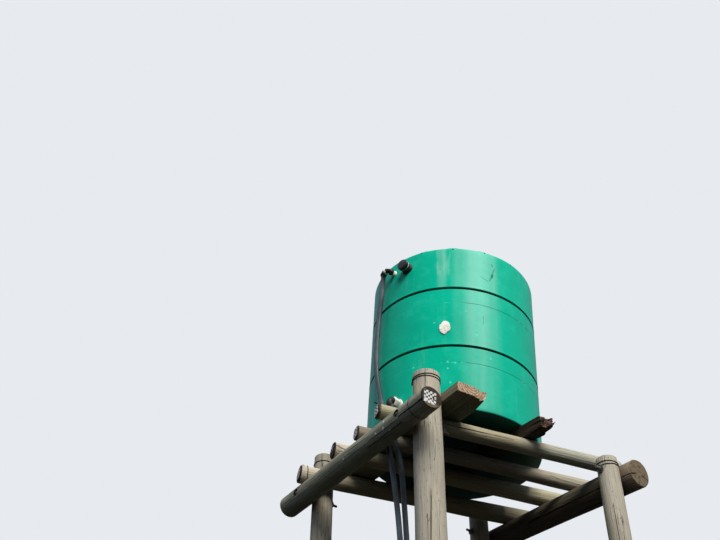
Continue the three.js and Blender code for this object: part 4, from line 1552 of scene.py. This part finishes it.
def makeBolt(corner):
    name = "bolt" + corner.title()
    place, length = layOf("bolt_" + corner, bolts["toward"][corner])
    rod, pitch = bolts["rod"], bolts["thread"]
    profile = [(0, 0), (rod - 0.002, 0)]
    for z, last in ((0.001, 0.030), (length - 0.075, length - 0.002)):
        while z < last:
            profile += [(rod - 0.0012, z), (rod, z + pitch / 2)]
            z += pitch
    profile += [(rod - 0.002, length), (0, length)]
    parts = [spunPiece(name, profile, 20)]
    for low, high in ((0.006, 0.017), (length - 0.037, length - 0.025)):
        parts.append(hexNut("nut", bolts["nut"], low, high))
    for low, radius in ((0.0165, bolts["washer"] - 0.004), (length - 0.040, bolts["washer"])):
        parts.append(spunPiece("washer", [
            (0, low), (radius - 0.001, low), (radius, low + 0.001), (radius, low + 0.002),
            (radius - 0.001, low + 0.003), (0, low + 0.003),
        ], 36))
    piece = joined(parts, name)
    smoothBy(piece, 32)
    placeAt(piece, place)
    return piece


for corner in bolts["toward"]:
    dressed(makeBolt(corner), "steel", boltSteel, "bolt_" + corner)
print("bolts:", len(bolts["toward"]))


# Nail plates on the sawn ends, and wires round the pole ends

plates = {
    "thickness": 0.0015, "cell": 0.0130, "tooth": 0.0012,
    # size up and across, shift up and across, turn
    "beam_left": ((0.078, 0.079), (-0.006, -0.012), 3),
    **{"joist_" + str(row): ((0.062, 0.054), (0, 0), 5 * row - 12) for row in joists["rows"]},
}


def endName(kind, node):
    return kind + node.title().replace("_", "")


def makePlate(node, toward):
    (height, width), shift, turn = plates[node]
    cell = plates["cell"]
    clearSelection()
    rows, columns = round(height / cell), round(width / cell)
    bpy.ops.mesh.primitive_grid_add(x_subdivisions=rows, y_subdivisions=columns, size=1)
    piece = named(endName("plate", node))
    placeAt(piece, Matrix.Diagonal((height, width, 1, 1)))
    piece.data.materials.append(zincPlate)
    piece.data.materials.append(checkShade)
    pickAll(piece)
    drawOut((0, 0, plates["thickness"]))
    cleanUp(piece)

    def punched(centres, normals):
        column = np.round((centres[:, 0] + height / 2) / cell - 0.5)
        line = np.round((centres[:, 1] + width / 2) / cell - 0.5)
        return (normals[:, 2] > 0.9) & ((column + line) % 2 == 0)

    pickFaces(piece, punched)
    bpy.ops.mesh.inset(thickness=0.0006, use_individual=True)
    bpy.ops.mesh.extrude_faces_move(TRANSFORM_OT_shrink_fatten={"value": -plates["tooth"]})
    # the punched holes get painted shade
    assignSlot(1)
    objectMode()
    wobble(piece, 0.04, 0.002, (1, 1, 1), turn)
    smoothBy(piece, 30)
    onEnd = layOf(node, toward)[0] @ Matrix.Translation((*shift, -0.0006))
    placeAt(piece, onEnd @ turnAbout("Z", turn) @ turnAbout("X", 180))
    return piece


hand(makePlate("beam_left", (0, 1, 0)), "steel", "plate_beam_left")
for row in joists["rows"]:
    hand(makePlate("joist_" + str(row), (1, 0, 0)), "steel", "plate_joist_" + str(row))
print("nail plates:", 1 + len(joists["rows"]))

wires = {
    # a ring starts so far off the pole, and wider still before it is drawn tight
    "radius": 0.0024, "tail": 0.034, "twist": 900, "clear": 0.009, "slack": 0.004,
    # rings of height from the start of the pole, or from its end where below 0, tilt and turn
    "poles": {
        "post_near": {"toward": (0, 0, 1), "rings": [(-0.037, 1.2, 200), (-0.056, 2.5, 20)], "tail": 175},
        "post_left": {"toward": (0, 0, 1), "rings": [(-0.060, 2.0, 60)], "tail": 60},
        "post_right": {"toward": (0, 0, 1), "rings": [(-0.044, 2.0, 10), (-0.061, 2.5, 190)], "tail": 190},
        "beam_left": {"toward": (0, 1, 0), "rings": [(0.125, 3.0, 90)], "tail": 60, "thin": 0.6},
        "joist_4": {"toward": (1, 0, 0), "rings": [(0.045, 3.0, 30)], "tail": 0},
        "joist_1": {"toward": (1, 0, 0), "rings": [(0.012, 1.0, 30)], "tail": 0},
    },
}


def makeRing(pole, place, radius, thin):
    # a circle drawn tight round the pole, then given its thickness
    clearSelection()
    bpy.ops.mesh.primitive_circle_add(vertices=120, radius=radius)
    ring = named("ring")
    placeAt(ring, place)
    cling = ring.modifiers.new("cling", "SHRINKWRAP")
    cling.target = pole
    cling.wrap_method = "NEAREST_SURFACEPOINT"
    cling.wrap_mode = "ABOVE_SURFACE"
    cling.offset = wires["radius"] * 0.8
    even = ring.modifiers.new("even", "SMOOTH")
    even.iterations = 3
    applyAll(ring)
    bpy.ops.object.convert(target="CURVE")
    ring.data.bevel_depth = wires["radius"] * thin
    ring.data.bevel_resolution = 2
    bpy.ops.object.convert(target="MESH")
    return bpy.context.active_object


def makeTail(place):
    # the two ends of the wire, twisted together
    half = wires["tail"] / 2
    strands = []
    for side in (-1, 1):
        strand = rodAlong("strand", 10, wires["radius"], -half, half, side * wires["radius"])
        pickEdges(strand, lambda a, b: np.abs(a[:, 2] - b[:, 2]) > 0.01)
        bpy.ops.mesh.subdivide(number_cuts=18)
        objectMode()
        strands.append(strand)
    tail = joined(strands, "tail")
    twistAbout(tail, wires["twist"])
    placeAt(tail, place @ turnAbout("Y", -12) @ turnAbout("X", 15))
    return tail


for node, look in wires["poles"].items():
    start, _, startRadius = flatEnd(node, -Vector(look["toward"]))
    end, _, endRadius = flatEnd(node, look["toward"])
    atStart = look["rings"][0][0] > 0
    radius = (startRadius if atStart else endRadius) + wires["clear"]
    origin = 0 if atStart else (end - start).length
    kind, which = node.split("_")
    pole = bpy.data.objects[kind + which.title()]
    parts = []
    for height, tilt, turn in look["rings"]:
        at = polePlace(start, end) @ Matrix.Translation((0, 0, origin + height))
        place = at @ turnAbout("Z", turn) @ turnAbout("Y", tilt)
        parts.append(makeRing(pole, place, radius + wires["slack"], look.get("thin", 1)))
    beside = at @ turnAbout("Z", look["tail"]) @ Matrix.Translation((radius + 0.003, 0, -0.012))
    parts.append(makeTail(beside))
    wire = joined(parts, endName("wire", node))
    smoothBy(wire, 60)
    dressed(wire, "wire", wireSteel, *(["wire_" + node] if "wire_" + node in nodes else []))
print("wires:", len(wires["poles"]))
